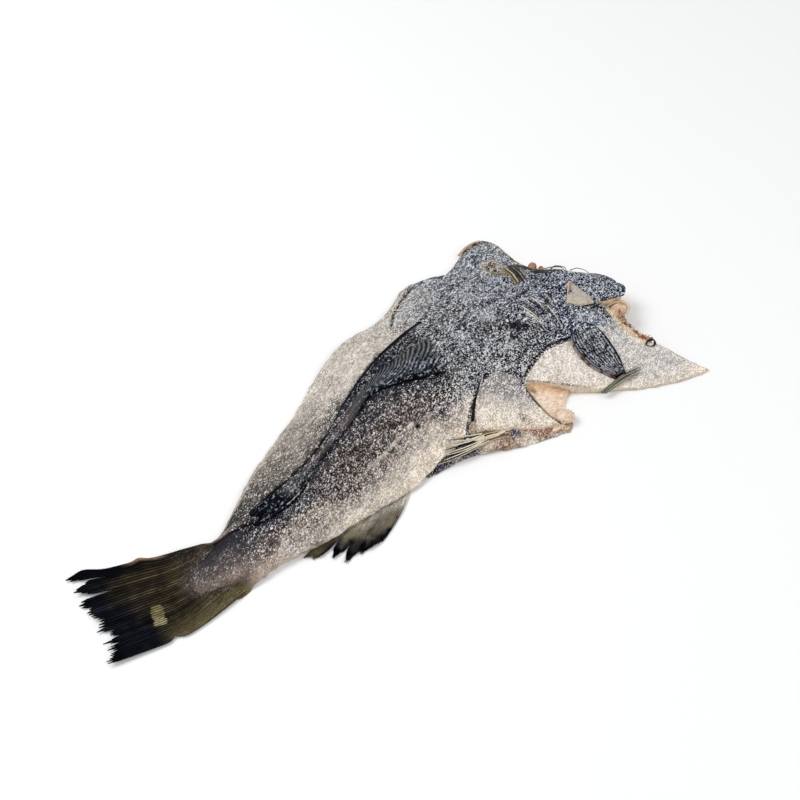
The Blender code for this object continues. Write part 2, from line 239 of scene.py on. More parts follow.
def back_height(x, y):
    """Height of the fish's outer surface over plan points."""
    away = y - follow(BACK_Y, x)
    near = away < 0
    reach = np.where(near, follow(NEAR_REACH, x), follow(FAR_REACH, x))
    fall = np.where(near, follow(NEAR_FALL, x), follow(FAR_FALL, x))
    u = np.minimum(1.0, np.abs(away) / reach)
    u = (np.hypot(u, BACK_ROUNDING) - BACK_ROUNDING) / (math.hypot(1.0, BACK_ROUNDING) - BACK_ROUNDING)
    z = EDGE_HEIGHT + (follow(BACK_Z, x) - EDGE_HEIGHT) * (1 - u) ** fall
    return z + np.where(near, follow(NEAR_BULGE, x) * 4 * u * (1 - u), 0.0)


def underside(z):
    """Height of the flesh side where the skin side is at z."""
    return HOLLOW_SHARE * (z - HOLLOW_FROM)


def turned_over(x, y, low, high, full, share, floor, fall):
    """A sheet's plan and heights with its rim turned over. Full is 0 at the rim and 1 inside."""
    low = low + (1 - full) * share * (high - np.maximum(low, floor))
    return x, y, np.maximum(floor, low), high - fall * (1 - full)


# ----- Uneven surfaces and lines on them -----

LATTICE = np.random.default_rng(3).random((97, 89))


def noise(x, y, size, layer=0):
    """Smooth random values from 0 to 1 over the plan, with lumps of that size."""
    gx, gy = x / size + 7.3 * layer, y / size + 3.1 * layer
    ix, iy = np.floor(gx).astype(int), np.floor(gy).astype(int)
    fx, fy = ramp(gx - ix), ramp(gy - iy)

    def corner(a, b):
        return LATTICE[(ix + a) % LATTICE.shape[0], (iy + b) % LATTICE.shape[1]]

    low = corner(0, 0) * (1 - fx) + corner(1, 0) * fx
    high = corner(0, 1) * (1 - fx) + corner(1, 1) * fx
    return low * (1 - fy) + high * fy


def rough(x, y, size, layer=0):
    """Noise of three sizes on top of each other, from -1 to 1."""
    total = sum(noise(x, y, size / 2 ** k, layer + k) / 2 ** k for k in range(3))
    return total / 0.875 - 1


def turned(x, y, angle):
    """The plan turned by an angle in degrees, for patterns that run across the fish."""
    a = math.radians(angle)
    return x * math.cos(a) + y * math.sin(a), y * math.cos(a) - x * math.sin(a)


def line_distance(x, y, line):
    """Distance of plan points from a run of straight pieces."""
    nearest = np.full(len(x), 1.0)
    for (ax, ay), (bx, by) in zip(line, line[1:]):
        dx, dy = bx - ax, by - ay
        t = np.clip(((x - ax) * dx + (y - ay) * dy) / (dx * dx + dy * dy), 0.0, 1.0)
        nearest = np.minimum(nearest, np.hypot(x - ax - t * dx, y - ay - t * dy))
    return nearest


def on_line(x, y, line, width):
    """1 on a line and 0 beyond its width."""
    return ramp(1.5 - 1.5 * line_distance(x, y, line) / width)


def spot(x, y, centre, half_length, half_width, angle=0.0):
    """1 in the middle of a soft oval spot and 0 outside it."""
    dx, dy = turned(x - centre[0], y - centre[1], angle)
    return ramp(1.6 - 1.6 * np.hypot(dx / half_length, dy / half_width))


def past(t, start, width):
    """0 up to start, rising softly to 1 over the width."""
    return ramp((t - start) / width)


def before(t, end, width):
    """0 from end on, and 1 more than the width before it."""
    return ramp((end - t) / width)


def within(t, start, width, end, end_width):
    """1 between start and end, fading in and out over the given widths."""
    return past(t, start, width) * before(t, end, end_width)


def crowded(t, share=0.6):
    """Grid lines drawn closer together towards both ends, so that rims turn over smoothly."""
    return t - share * np.sin(2 * math.pi * t) / (2 * math.pi)


def fullness(u, v, rim_u, rim_v):
    """0 at the rim of a sheet and 1 inside, turning over within the given shares of its sides."""
    edge = np.minimum(np.minimum(u, 1 - u) / rim_u, np.minimum(v, 1 - v) / rim_v)
    return np.sqrt(1 - (1 - np.clip(edge, 0.0, 1.0)) ** 2)


# ----- Making pieces -----

SHARP_EDGE = math.radians(60)


class Points:
    """The points of a piece: which sheet, where on it, where in space and which side."""

    def __init__(self, sheet, u, v, top):
        self.sheet, self.u, self.v, self.top = sheet, u, v, top
        self.x = self.y = self.z = None


def sheets(name, columns, rows, place, count=1):
    """Closed sheets side by side. place(points) gives plan x and y, lower and upper heights."""
    bm = bmesh.new()
    for k in range(count):
        bmesh.ops.create_grid(bm, x_segments=columns, y_segments=rows, size=0.5,
            matrix=Matrix.Translation((2 * k, 0, 0)))
    raised = bmesh.ops.extrude_face_region(bm, geom=bm.faces[:])["geom"]
    upper = [element for element in raised if isinstance(element, bmesh.types.BMVert)]
    bmesh.ops.translate(bm, verts=upper, vec=(0, 0, 1))
    spots = np.array([vert.co for vert in bm.verts])
    sheet = np.rint(spots[:, 0] / 2)
    points = Points(sheet.astype(int), np.clip(spots[:, 0] - 2 * sheet + 0.5, 0, 1),
        np.clip(spots[:, 1] + 0.5, 0, 1), spots[:, 2] > 0.5)
    x, y, low, high = place(points)
    points.x, points.y, points.z = x, y, np.where(points.top, high, low)
    for vert, place_now in zip(bm.verts, zip(x, y, points.z)):
        vert.co = place_now
    return closed_object(name, bm), points


def as_object(name, bm):
    """The bmesh as an object in the scene, smooth but for its sharp edges."""
    mesh = bpy.data.meshes.new(name)
    bm.to_mesh(mesh)
    bm.free()
    mesh.shade_smooth()
    mesh.set_sharp_from_angle(angle=SHARP_EDGE)
    made = bpy.data.objects.new(name, mesh)
    bpy.context.scene.collection.objects.link(made)
    return made


def closed_object(name, bm):
    """The same for a bmesh whose faces may not all face outwards yet."""
    bmesh.ops.recalc_face_normals(bm, faces=bm.faces[:])
    return as_object(name, bm)


def places(piece):
    """Rows of x, y and z of a piece's points."""
    return np.array([vert.co for vert in piece.data.vertices]).T


def paint(piece, tint, flecks):
    """Keeps a colour for each point of a piece, and how strongly salt flecks it."""
    mesh = piece.data
    count = len(mesh.vertices)
    colours = np.ones((count, 4))
    colours[:, :3] = np.clip(tint, 0.0, 1.0)
    mesh.attributes.new("tint", "FLOAT_COLOR", "POINT").data.foreach_set("color", colours.ravel())
    mesh.attributes.new("flecks", "FLOAT", "POINT").data.foreach_set(
        "value", np.clip(np.broadcast_to(flecks, count), 0.0, 1.0))


def lay_rays(piece, across, lengthwise):
    """Gives a fin its own map: one unit across for each ray, and lengthwise in metres."""
    mesh = piece.data
    corners = np.zeros(len(mesh.loops), int)
    mesh.loops.foreach_get("vertex_index", corners)
    spots = np.stack((across[corners], lengthwise[corners]), 1)
    mesh.uv_layers.new(name="rays").data.foreach_set("uv", spots.ravel())


def keep(piece, material, tint=None, flecks=0.2):
    """Gives a finished piece its colours and material, and says what it stands for."""
    if tint is not None:
        paint(piece, tint, flecks)
    piece.data.materials.append(material)
    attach(piece, BODY)
    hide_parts(SOLID)


def linear(colour):
    """A display colour as a row of linear values."""
    return np.array(colour[:3], float) ** 2.2


def shades(stops, t):
    """Colours along a run of (position, display colour) stops."""
    spots = [position for position, colour in stops]
    values = np.array([linear(colour) for position, colour in stops])
    return np.stack([np.interp(t, spots, values[:, k]) for k in range(3)], 1)


def cover(tint, colour, amount):
    """Tint with a display colour, or with rows of other tints, laid over it where amount is 1."""
    amount = np.broadcast_to(np.asarray(amount, float), len(tint))[:, None]
    return tint * (1 - amount) + (colour if isinstance(colour, np.ndarray) else linear(colour)) * amount


def layered(tint, *layers):
    """Tint with layers over it, each a colour and the amount of it at each point."""
    for layer_colour, amount in layers:
        tint = cover(tint, layer_colour, amount)
    return tint


def deepen(tint, share):
    """Tint made lighter or darker by a share at each point."""
    return tint * (1 + np.asarray(share))[:, None]


def tube(bm, route, radius, sides=6, flatten=1.0):
    """A closed tapering stick along points in space, as rings bridged end to end."""
    points = [Vector(p) for p in route]
    rings = []
    for k, point in enumerate(points):
        heading = points[min(k + 1, len(points) - 1)] - points[max(k - 1, 0)]
        turn = heading.to_track_quat("Z", "Y").to_matrix().to_4x4()
        r = radius(k / (len(points) - 1)) if callable(radius) else radius
        ring = bmesh.ops.create_circle(bm, cap_ends=k in (0, len(points) - 1), segments=sides, radius=r,
            matrix=Matrix.Translation(point) @ turn @ Matrix.Diagonal((1.0, flatten, 1.0, 1.0)))["verts"]
        rings.append(ring)
    for first, second in zip(rings, rings[1:]):
        edges = [edge for ring in (first, second) for edge in {e for v in ring for e in v.link_edges}
            if all(v in ring for v in edge.verts)]
        bmesh.ops.bridge_loops(bm, edges=edges)


# ----- Materials -----

def node(tree, kind, inputs=None, **settings):
    """A node with its settings. Inputs are values, or sockets to link from."""
    made = tree.nodes.new(kind)
    for name, value in settings.items():
        setattr(made, name, value)
    for key, value in (inputs or {}).items():
        if isinstance(value, bpy.types.NodeSocket):
            tree.links.new(value, made.inputs[key])
        else:
            made.inputs[key].default_value = value
    return made


def mixed(tree, factor, a, b, blend="MIX"):
    """The colour socket of a Mix node."""
    return node(tree, "ShaderNodeMix", {0: factor, 6: a, 7: b}, data_type="RGBA",
        blend_type=blend).outputs[2]


def times(tree, tint, level):
    """A colour socket made lighter or darker by a value."""
    grey = node(tree, "ShaderNodeCombineColor", {0: level, 1: level, 2: level}).outputs[0]
    return mixed(tree, 1.0, tint, grey, "MULTIPLY")


def maths(tree, operation, a, b, c=0.0):
    """The socket of a Math node."""
    return node(tree, "ShaderNodeMath", {0: a, 1: b, 2: c}, operation=operation).outputs[0]


def scaled(tree, value, factor, offset):
    """The socket of value times factor plus offset."""
    return maths(tree, "MULTIPLY_ADD", value, factor, offset)


def mapped(tree, value, low, high, to_low=0.0, to_high=1.0):
    """A value mapped softly from one range to another."""
    return node(tree, "ShaderNodeMapRange",
        {"Value": value, "From Min": low, "From Max": high, "To Min": to_low, "To Max": to_high},
        interpolation_type="SMOOTHSTEP").outputs[0]


def grain(tree, place, scale, detail=2.0, roughness=0.5, distortion=0.0):
    """The socket of a noise pattern."""
    return node(tree, "ShaderNodeTexNoise", {
        "Vector": place, "Scale": scale, "Detail": detail, "Roughness": roughness,
        "Distortion": distortion}).outputs[0]


def object_place(tree):
    """The socket of a point's place on its object, in metres."""
    return node(tree, "ShaderNodeTexCoord").outputs["Object"]


SURFACE = (("Color", "NodeSocketColor"), ("Height", "NodeSocketFloat"), ("Roughness", "NodeSocketFloat"))


def effect_group(name, inputs, fill):
    """A node group over a tint, made once: fill(tree, given) returns colour, height and roughness."""
    if name in bpy.data.node_groups:
        return bpy.data.node_groups[name]
    tree = bpy.data.node_groups.new(name, "ShaderNodeTree")
    for label, kind, default in (("Tint", "NodeSocketColor", None), *inputs):
        socket = tree.interface.new_socket(name=label, in_out="INPUT", socket_type=kind)
        if default is not None:
            socket.default_value = default
    for label, kind in SURFACE:
        tree.interface.new_socket(name=label, in_out="OUTPUT", socket_type=kind)
    given, out = tree.nodes.new("NodeGroupInput").outputs, tree.nodes.new("NodeGroupOutput").inputs
    for made, (label, kind) in zip(fill(tree, given), SURFACE):
        tree.links.new(made, out[label])
    return tree


def salted_skin():
    """Worm-like flecks of salt on a tint, its pits darker and its crust lighter, partly the skin's own
    speckle and partly painted shade and painted light, and the pebbled height they stand on.
    """
    def fill(tree, given):
        place, flecks, tint, salt = object_place(tree), given["Flecks"], given["Tint"], given["Salt"]
        slant = node(tree, "ShaderNodeMapping",
            {"Vector": place, "Rotation": (0, 0, 0.52), "Scale": (1.5, 0.9, 0.9)},
            vector_type="TEXTURE").outputs[0]
        worms = grain(tree, slant, given["Scale"], 1.0, 0.6, 0.8)
        even = grain(tree, place, given["Scale"], 1.0, 0.6, 0.5)
        patches = grain(tree, slant, 290.0, 1.0)
        clumps = grain(tree, place, 120.0, 2.0)
        ahead = node(tree, "ShaderNodeSeparateXYZ", {0: place}).outputs[0]
        # The flecks are long over the tail and flanks, and round over the front of the back.
        front = mapped(tree, ahead, 0.02, 0.09)
        worms = scaled(tree, front, maths(tree, "SUBTRACT", even, worms), worms)
        both = scaled(tree, worms, 0.84, maths(tree, "MULTIPLY", clumps, 0.14))
        both = scaled(tree, patches, 0.31, maths(tree, "SUBTRACT", both, 0.146))
        both = scaled(tree, scaled(tree, both, 0.75, -0.394), front, both)
        fleck = mapped(tree, both, scaled(tree, flecks, 0.158, 0.31), scaled(tree, flecks, -0.087, 0.69))
        # The pits are the tint darkened, partly dark speckle and partly painted shade in the low pits; lit
        # is the tint lightened as painted light on the raised crust.
        shaded_pit = times(tree, tint, scaled(tree, flecks, -0.93, 1.0))
        cool = maths(tree, "MULTIPLY", front, mapped(tree, flecks, 0.55, 0.85))
        shaded_pit = mixed(tree, cool, shaded_pit, mixed(tree, 1.0, shaded_pit, (0.85, 0.97, 1.26, 1.0), "MULTIPLY"))
        lit = times(tree, tint, scaled(tree, flecks, 1.35, 1.0))
        salted = maths(tree, "MULTIPLY", maths(tree, "MULTIPLY", flecks, flecks), 0.2)
        colour = mixed(tree, fleck, shaded_pit, mixed(tree, salted, lit, salt))
        glint = maths(tree, "MULTIPLY", mapped(tree, both, 0.585, 0.675), mapped(tree, flecks, 0.1, 0.55))
        colour = mixed(tree, glint, colour, salt)
        blue = mixed(tree, mapped(tree, ahead, 0.17, 0.23), (0.97, 0.995, 1.03, 1.0),
            (0.915, 0.985, 1.07, 1.0))
        colour = mixed(tree, cool, colour, mixed(tree, 1.0, colour, blue, "MULTIPLY"))
        hue = mixed(tree, mapped(tree, grain(tree, place, 300.0, 2.0), 0.35, 0.65),
            (0.97, 0.99, 1.04, 1.0), (1.03, 1.0, 0.96, 1.0))
        return (mixed(tree, 1.0, colour, hue, "MULTIPLY"), both,
            mapped(tree, both, 0.4, 0.65, 0.85, 0.55))

    return effect_group("Salted skin", (
        ("Flecks", "NodeSocketFloat", 0.5), ("Salt", "NodeSocketColor", (0.8, 0.79, 0.76, 1.0)),
        ("Scale", "NodeSocketFloat", 780.0)), fill)


def dried_streaks():
    """Fine streaks along the rays of a fin over a tint, and their height."""
    def fill(tree, given):
        lay = node(tree, "ShaderNodeUVMap", uv_map="rays").outputs[0]
        stretch = node(tree, "ShaderNodeCombineXYZ",
            {0: given["Across"], 1: given["Lengthwise"]}).outputs[0]
        place = node(tree, "ShaderNodeVectorMath", {0: lay, 1: stretch}, operation="MULTIPLY").outputs[0]
        streak = grain(tree, place, 1.0, 3.0, 0.6)
        dust = grain(tree, object_place(tree), 900.0, 2.0, 0.6)
        level = node(tree, "ShaderNodeMapRange", {
            "Value": streak, "From Min": 0.35, "From Max": 0.65,
            "To Min": maths(tree, "SUBTRACT", 1.0, given["Depth"]),
            "To Max": maths(tree, "ADD", 1.0, given["Depth"])}).outputs[0]
        level = maths(tree, "MULTIPLY", level, mapped(tree, dust, 0.35, 0.7, 0.85, 1.25))
        salted = tree.nodes.new("ShaderNodeGroup")
        salted.node_tree = salted_skin()
        tree.links.new(times(tree, given["Tint"], level), salted.inputs["Tint"])
        tree.links.new(given["Flecks"], salted.inputs["Flecks"])
        return (salted.outputs["Color"], maths(tree, "ADD", streak, maths(tree, "MULTIPLY", dust, 0.3)),
            mapped(tree, streak, 0.3, 0.7, 0.42, 0.62))

    return effect_group("Dried streaks", (
        ("Flecks", "NodeSocketFloat", 0.2), ("Depth", "NodeSocketFloat", 0.4),
        ("Across", "NodeSocketFloat", 3.0),
        ("Lengthwise", "NodeSocketFloat", 130.0)), fill)


def dried_flesh():
    """Fibres, cracks and faint browning over a tint, and their height."""
    def fill(tree, given):
        place = object_place(tree)
        stretched = node(tree, "ShaderNodeMapping", {
            "Vector": place, "Scale": (1.0, 3.2, 1.0), "Rotation": (0, 0, 0.5)}).outputs[0]
        fibres = grain(tree, stretched, 210.0, 4.0, 0.62, 0.4)
        lumps = grain(tree, place, 90.0, 3.0, 0.55)
        fine = grain(tree, place, 1300.0, 2.0, 0.6)
        brown = maths(tree, "MULTIPLY", mapped(tree, lumps, 0.48, 0.72), given["Browning"])
        level = maths(tree, "MULTIPLY", mapped(tree, fibres, 0.32, 0.62, 0.72, 1.08),
            mapped(tree, fine, 0.3, 0.7, 0.93, 1.06))
        return (times(tree, mixed(tree, brown, given["Tint"], given["Brown"]), level),
            maths(tree, "ADD", fibres, maths(tree, "MULTIPLY", fine, 0.15)),
            mapped(tree, lumps, 0.3, 0.7, 0.45, 0.68))

    return effect_group("Dried flesh", (
        ("Brown", "NodeSocketColor", (0.5, 0.27, 0.12, 1.0)),
        ("Browning", "NodeSocketFloat", 0.35)), fill)


def new_material(name):
    """A material with nodes, its node tree and its shader's inputs."""
    material = bpy.data.materials.new(name)
    material.use_nodes = True
    return material, material.node_tree, material.node_tree.nodes["Principled BSDF"].inputs


def finish(name, group, values, bump_depth, specular, flecked=False):
    """A material whose colour, roughness and height come from a group over the painted tint."""
    if name in bpy.data.materials:
        return bpy.data.materials[name]
    material, tree, shader = new_material(name)
    inputs = {"Tint": node(tree, "ShaderNodeAttribute", attribute_name="tint").outputs["Color"]}
    if flecked:
        inputs["Flecks"] = node(tree, "ShaderNodeAttribute", attribute_name="flecks").outputs["Fac"]
    effect = node(tree, "ShaderNodeGroup", {**inputs, **values}, node_tree=group).outputs
    bump = node(tree, "ShaderNodeBump",
        {"Height": effect["Height"], "Strength": 1.0, "Distance": bump_depth})
    tree.links.new(effect["Color"], shader["Base Color"])
    tree.links.new(effect["Roughness"], shader["Roughness"])
    tree.links.new(bump.outputs[0], shader["Normal"])
    shader["Specular IOR Level"].default_value = specular
    return material


def skin_material():
    look = bpy.context.scene.cod_finish
    values = {"Scale": look.fleck_scale, "Salt": (*linear(look.salt), 1.0)}
    return finish("salted skin", salted_skin(), values, look.skin_relief, 0.05, flecked=True)


def fin_material():
    return finish("dried fin", dried_streaks(), {"Depth": 0.45}, 0.0004, 0.03, flecked=True)


def straw_material():
    return finish("straw ray", dried_flesh(), {"Browning": 0.15}, 0.0002, 0.2)


def flesh_material():
    look = bpy.context.scene.cod_finish
    return finish("dried flesh", dried_flesh(), {"Browning": look.browning}, 0.0006, 0.2)


def grain_material():
    """Clear-white grains of salt, frosted with smaller ones."""
    material, tree, shader = new_material("salt grains")
    frost = grain(tree, object_place(tree), 2200.0, 2.0)
    tree.links.new(mixed(tree, frost, (0.66, 0.65, 0.62, 1.0), (0.94, 0.93, 0.9, 1.0)),
        shader["Base Color"])
    tree.links.new(mapped(tree, frost, 0.3, 0.7, 0.25, 0.6), shader["Roughness"])
    return material


# ----- Body -----

# Where the dark back gives way to the pale far flank.
DARK_LIMIT = mm((
    (-238, -5), (-185, -28), (-150, -26), (-100, -20), (-70, -14), (-37, 0), (5, 26), (59, 52), (108, 67),
    (158, 86), (188, 92), (225, 94)))
CREASES = mm((
    ((122, -40), (140, -36.5), (158, -38), (180, -30)),
    ((128, 72), (158, 86), (188, 92)),
    ((-205, -34), (-175, -36), (-152, -40))))
FAR_CRACK = mm(((152, 126), (139, 119), (128, 113), (117, 107), (107, 97), (94, 82)))
SCRATCH = mm(((33, -39), (14, -44), (-7, -50), (-27, -55), (-43, -59)))
DOT = mm((36, -43))
SLIT = mm(((254, -18.5), (263, -22), (272, -25), (276.5, -30), (278.5, -40)))
COLLAR_FOLD = mm(((212, -30), (235, -12), (262, -4)))
FLAP_CRACK = mm(((125, -34), (116, -38.5), (106, -45), (97, -51), (86, -60), (79, -67), (73, -73)))
WING_CRACK = mm((
    (228, -43), (216, -40), (198, -38), (180, -44), (161, -52), (153, -56), (153, -68), (155, -86),
    (158, -98), (161, -106)))
BARE_BACK = mm(((155, 13), (181, 6), (192, -8), (204, -22)))
# The far wing's hollow and the shadow beside it, and the torn edge of the near shoulder wing.
FAR_HOLLOW = mm((235, 93))
FAR_SHADOW = mm(((226, 82), (230, 70), (240, 61), (252, 54), (264, 40), (278, 28)))
CUT_EDGE = mm(((293, -43), (290.5, -52), (291.5, -61), (294, -69.5), (297.5, -76.5), (304, -83.5)))
CUT_BAND = mm(((285, -38), (286, -50), (287, -61), (290.5, -70), (294.5, -76.5), (301, -83)))
WING_TIP = mm((330, -141.5))

TONGUE_START = 0.012
TONGUE_DEPTH = 0.06
RAGGED = 0.0016


def body_plan(u, side):
    """Plan points of the body: side runs from -1 at the near edge over the back to 1."""
    tongue = np.minimum(1.0, ((side + 0.52) / 0.5) ** 2)
    first = TONGUE_START + TONGUE_DEPTH * tongue
    u = first + (1 - first) * u
    away = np.abs(side)
    edge = np.where((side > 0)[:, None], along(BODY_FAR, u), along(BODY_NEAR, u))
    x, y = mix(along(BODY_BACK, u), edge, away).T
    x = x + NAPE_BOW * ramp(10 * u - 9) * 4 * away * (1 - away)
    ragged = RAGGED * rough(x, y, 0.007, 4) * ramp(4 * away - 3) * ramp(6 - 6 * u)
    return x, y + ragged * np.sign(side)


TONGUE_END = -0.185
TONGUE_MIDDLE = -0.06
TONGUE_HALF = mm((56, 21))


def off_tongue(x, y):
    """0 on the tongue of skin that reaches over the tail fin's root, and 1 beside it."""
    away = np.hypot((y - TONGUE_MIDDLE) / TONGUE_HALF[1], np.maximum(0, TONGUE_END - x) / TONGUE_HALF[0])
    return ramp((away + 0.16 * rough(x, y, 0.008, 15) - 0.62) / 0.6) * before(x, -0.172, 0.022)


def skin_relief(x, y):
    """Fine wrinkles of dried skin, in metres: long folds, lumps and pebbles."""
    lengthwise, crosswise = turned(x, y, 12)
    folds = 0.00045 * rough(lengthwise, crosswise * 4, 0.03, 1)
    lumps = 0.0007 * rough(x, y, 0.022, 2)
    pebbles = 0.00028 * rough(x, y, 0.0048, 3)
    return folds + lumps + pebbles


def body_surface(x, y, u, v):
    """Height of the body's skin, with its dent, dropped nape, creases and wrinkles."""
    dent_x, dent_y, radius, depth = BACK_DENT
    z = back_height(x, y) - depth * np.exp(-((x - dent_x) ** 2 + (y - dent_y) ** 2) / radius ** 2)
    z = z - NAPE_DROP * ramp(16 * u - 15) * (0.8 + 0.2 * v)
    for crease in CREASES:
        z = z - 0.0014 * on_line(x, y, crease, 0.003)
    z = z - 0.0016 * on_line(x, y, FAR_CRACK, 0.0024) - 0.0016 * on_line(x, y, SLIT, 0.003)
    z = z + 0.0006 * on_line(x, y, SCRATCH, 0.003) + 0.0009 * on_line(x, y, COLLAR_FOLD, 0.006)
    return z + skin_relief(x, y) - 0.0016 * ramp(1 - 30 * u) - 0.0024 * off_tongue(x, y)


# Dark and pale spots of the front of the back: colour, strength, centre, half length, half width,
# turn in degrees, how whole the spot is, and which blotches break it up.
BACK_SPOTS = (
    ("black", 0.95, (0.19, -0.006), 0.019, 0.012, -50, 1.3, "small"),
    ("shoulder_dark", 0.7, (0.152, -0.028), 0.024, 0.009, 5, 2.0, "small"),
    ("shoulder_dark", 0.45, (0.15, 0.03), 0.03, 0.01, 25, 2.0, "small"),
    ("shoulder_pale", 0.9, (0.176, 0.03), 0.022, 0.011, 30, 2.0, "small"),
    ("fin_slate", 0.55, (0.105, 0.02), 0.012, 0.04, -20, 2.0, "small"),
    ("shoulder_pale", 0.55, (0.2, 0.062), 0.03, 0.014, 20, 1.0, "large"),
    ("shoulder_pale", 0.5, (0.166, -0.022), 0.022, 0.01, 10, 1.0, "large"),
    ("black", 0.75, (0.14, 0.048), 0.044, 0.022, 26, 1.1, "small"),
    ("shoulder_dark", 0.6, (0.104, 0.05), 0.024, 0.007, 22, 1.2, "small"),
    ("black", 0.7, (0.106, -0.004), 0.026, 0.013, 62, 1.0, "large"),
    ("flank_grey", 0.4, (0.066, -0.044), 0.026, 0.012, -30, 1.0, "large"),
    ("shoulder_dark", 0.8, (0.136, -0.038), 0.026, 0.009, -5, 2.0, "small"))
# Painted shade in the body's creases, cracks and slit, and the painted shadow beside the far wing, as black
# lines: strength, route and width.
BODY_SHADE_LINES = (
    *((strength, crease, 0.0034) for strength, crease in zip((0.9, 0.75, 0.8), CREASES)),
    (0.85, FAR_SHADOW, 0.004), (0.95, FAR_CRACK, 0.0022), (0.95, FLAP_CRACK, 0.0026),
    (0.95, WING_CRACK[:6], 0.003), (0.95, SLIT, 0.003))


class Unevenness:
    """Blotches and streaks in the colour of the body's skin, each from -1 to 1."""

    def __init__(self, x, y):
        self.blotch, self.small = rough(x, y, 0.03, 5), rough(x, y, 0.011, 7)
        lengthwise, crosswise = turned(x, y, 24)
        self.streaks = rough(lengthwise, crosswise * 3, 0.02, 6)
        self.strokes = rough(lengthwise, crosswise * 3, 0.016, 19)
        self.whole = 0.1 * self.blotch + 0.06 * self.streaks + 0.05 * self.small


def stalk_tint(s, uneven, look):
    """Dark on the tail stalk's back, paling to tan at its edge."""
    return shades(((0.0, look.stalk_dark), (0.3, look.stalk_top), (0.55, look.stalk),
        (0.9, look.stalk_tan), (1.0, look.stalk_tan)), s + uneven.whole)


def shoulder_tint(x, y, uneven, look):
    """Mottled blue-grey."""
    tint = shades(((0.0, look.shoulder_dark), (0.35, look.shoulder), (0.65, look.shoulder),
        (1.0, look.shoulder_pale)), 0.5 + 0.55 * uneven.blotch + 0.25 * uneven.streaks)
    return deepen(tint, 0.65 * rough(x, y, 0.011, 16))


def near_flank_tint(x, y, s, uneven, look):
    """Brownish grey below the back, then paler down to a cream edge, the stalk and the shoulder."""
    tint = shades(((0.0, look.back), (0.24, look.back), (0.42, look.flank_brown), (0.58, look.flank_grey),
        (0.8, look.flank_pale), (1.0, look.cream)), s + uneven.whole + 0.22 * past(x, -0.09, 0.13) - 0.12)
    mottling = 0.75 * rough(x, y, 0.013, 17) + 0.55 * rough(x, y, 0.026, 18)
    tint = deepen(tint, mottling * (1 - 0.65 * past(s, 0.5, 0.25)))
    root = shades(((-0.092, look.fin_olive), (-0.08, look.stalk_brown), (-0.05, look.stalk_brown),
        (-0.036, look.fin_dark)), y)
    brown = spot(x, y, (-0.04, -0.042), 0.06, 0.022, 14) * ramp(1.1 + 1.3 * uneven.blotch)
    pale = spot(x, y, (-0.11, -0.072), 0.045, 0.016, 5) * ramp(0.9 + 1.6 * uneven.small)
    return layered(
        tint, (stalk_tint(s, uneven, look), before(x, -0.12, 0.06)), (look.flank_brown, 0.8 * brown),
        (look.flank_pale, 0.6 * pale), (root, off_tongue(x, y)),
        (shoulder_tint(x, y, uneven, look), ramp((x - 0.082 + 0.25 * (y + 0.03)) / 0.03)))


def far_flank_tint(x, y, s, uneven, look):
    """Grey beside the last back fin, then beige to cream, and cool grey at the shoulder."""
    away = np.clip((y - follow(DARK_LIMIT, x)) / 0.05, 0, 1)
    tint = shades(((-0.2, look.stalk_top), (-0.14, look.far_grey), (-0.07, look.far_beige),
        (-0.005, look.far_pale), (0.08, look.far_pale), (0.125, look.far_cool), (0.2, look.shoulder)),
        x + 0.012 * uneven.blotch)
    shade = -0.62 * (1 - away) ** 2 * before(x, 0.03, 0.06)
    tint = deepen(tint, shade + 0.32 * uneven.blotch + 0.26 * uneven.small)
    return cover(tint, look.far_rim, 0.75 * ramp(12 * s - 10.6) * before(x, 0.16, 0.02))


def body_tint(points, look):
    """The skin's colours: dark back, near flank paling to a cream edge, pale far flank."""
    x, y = points.x, points.y
    side = 2 * points.v - 1
    s = np.abs(side)
    uneven = Unevenness(x, y)
    small = uneven.small
    tint = layered(
        np.tile(linear(look.back), (len(x), 1)), (stalk_tint(s, uneven, look), before(x, -0.125, 0.05)),
        (shoulder_tint(x, y, uneven, look), past(x, 0.082, 0.03)),
        (far_flank_tint(x, y, s, uneven, look), ramp((y - follow(DARK_LIMIT, x)) / 0.0045 + 0.5)),
        (near_flank_tint(x, y, s, uneven, look), ramp(-side * 8)),
        (look.nape, 0.9 * ramp((x - 0.198 - 0.35 * np.abs(y + 0.02)) / 0.03)))
    tint = deepen(tint, 0.3 * uneven.strokes)
    tint = cover(tint, look.black, 0.85 * on_line(x, y, BARE_BACK, 0.013) * ramp(1.0 + 1.5 * small))
    for name, strength, centre, half_length, half_width, turn, whole, size in BACK_SPOTS:
        broken = ramp(whole + (small if size == "small" else uneven.blotch))
        tint = cover(tint, getattr(look, name),
            strength * spot(x, y, centre, half_length, half_width, turn) * broken)
    # Painted shade along the creases, cracks and slit, and the painted shadow beside the far wing.
    for strength, line, width in BODY_SHADE_LINES:
        tint = cover(tint, look.ink_and_shade, strength * on_line(x, y, line, width))
    scratch = on_line(x, y, SCRATCH, 0.0021) * (0.42 + 0.33 * past(x, -0.03, 0.04))
    limit = np.abs(y - follow(DARK_LIMIT, x) + 0.001 * small)
    base = line_distance(x, y, LAST_DORSAL[0] + MIDDLE_DORSAL[0])
    return layered(
        tint, (look.cream, scratch * ramp(0.9 + 1.5 * small)),
        (look.ink_and_shade, spot(x, y, DOT, 0.0048, 0.0042)),
        # A black line at the dark limit: painted shade beside the back fins' free edge.
        (look.ink_and_shade, 0.92 * ramp(1.5 - limit / 0.0022) * within(x, -0.14, 0.02, 0.075, 0.02)),
        (look.black, 0.75 * ramp(1.2 - base / (0.004 + 0.004 * ramp(x / 0.05))) * before(x, 0.105, 0.01)))


def fleck_strength(tint, x, y, least=0.45):
    """Dark skin shows its salt flecks most, pale skin least."""
    level = np.sqrt(tint @ np.array((0.25, 0.65, 0.1)))
    strength = np.clip(1.82 - 2.05 * level, least, 1.0) + 0.12 * rough(x, y, 0.024, 8)
    return strength * ramp(4.5 * level - 0.12)


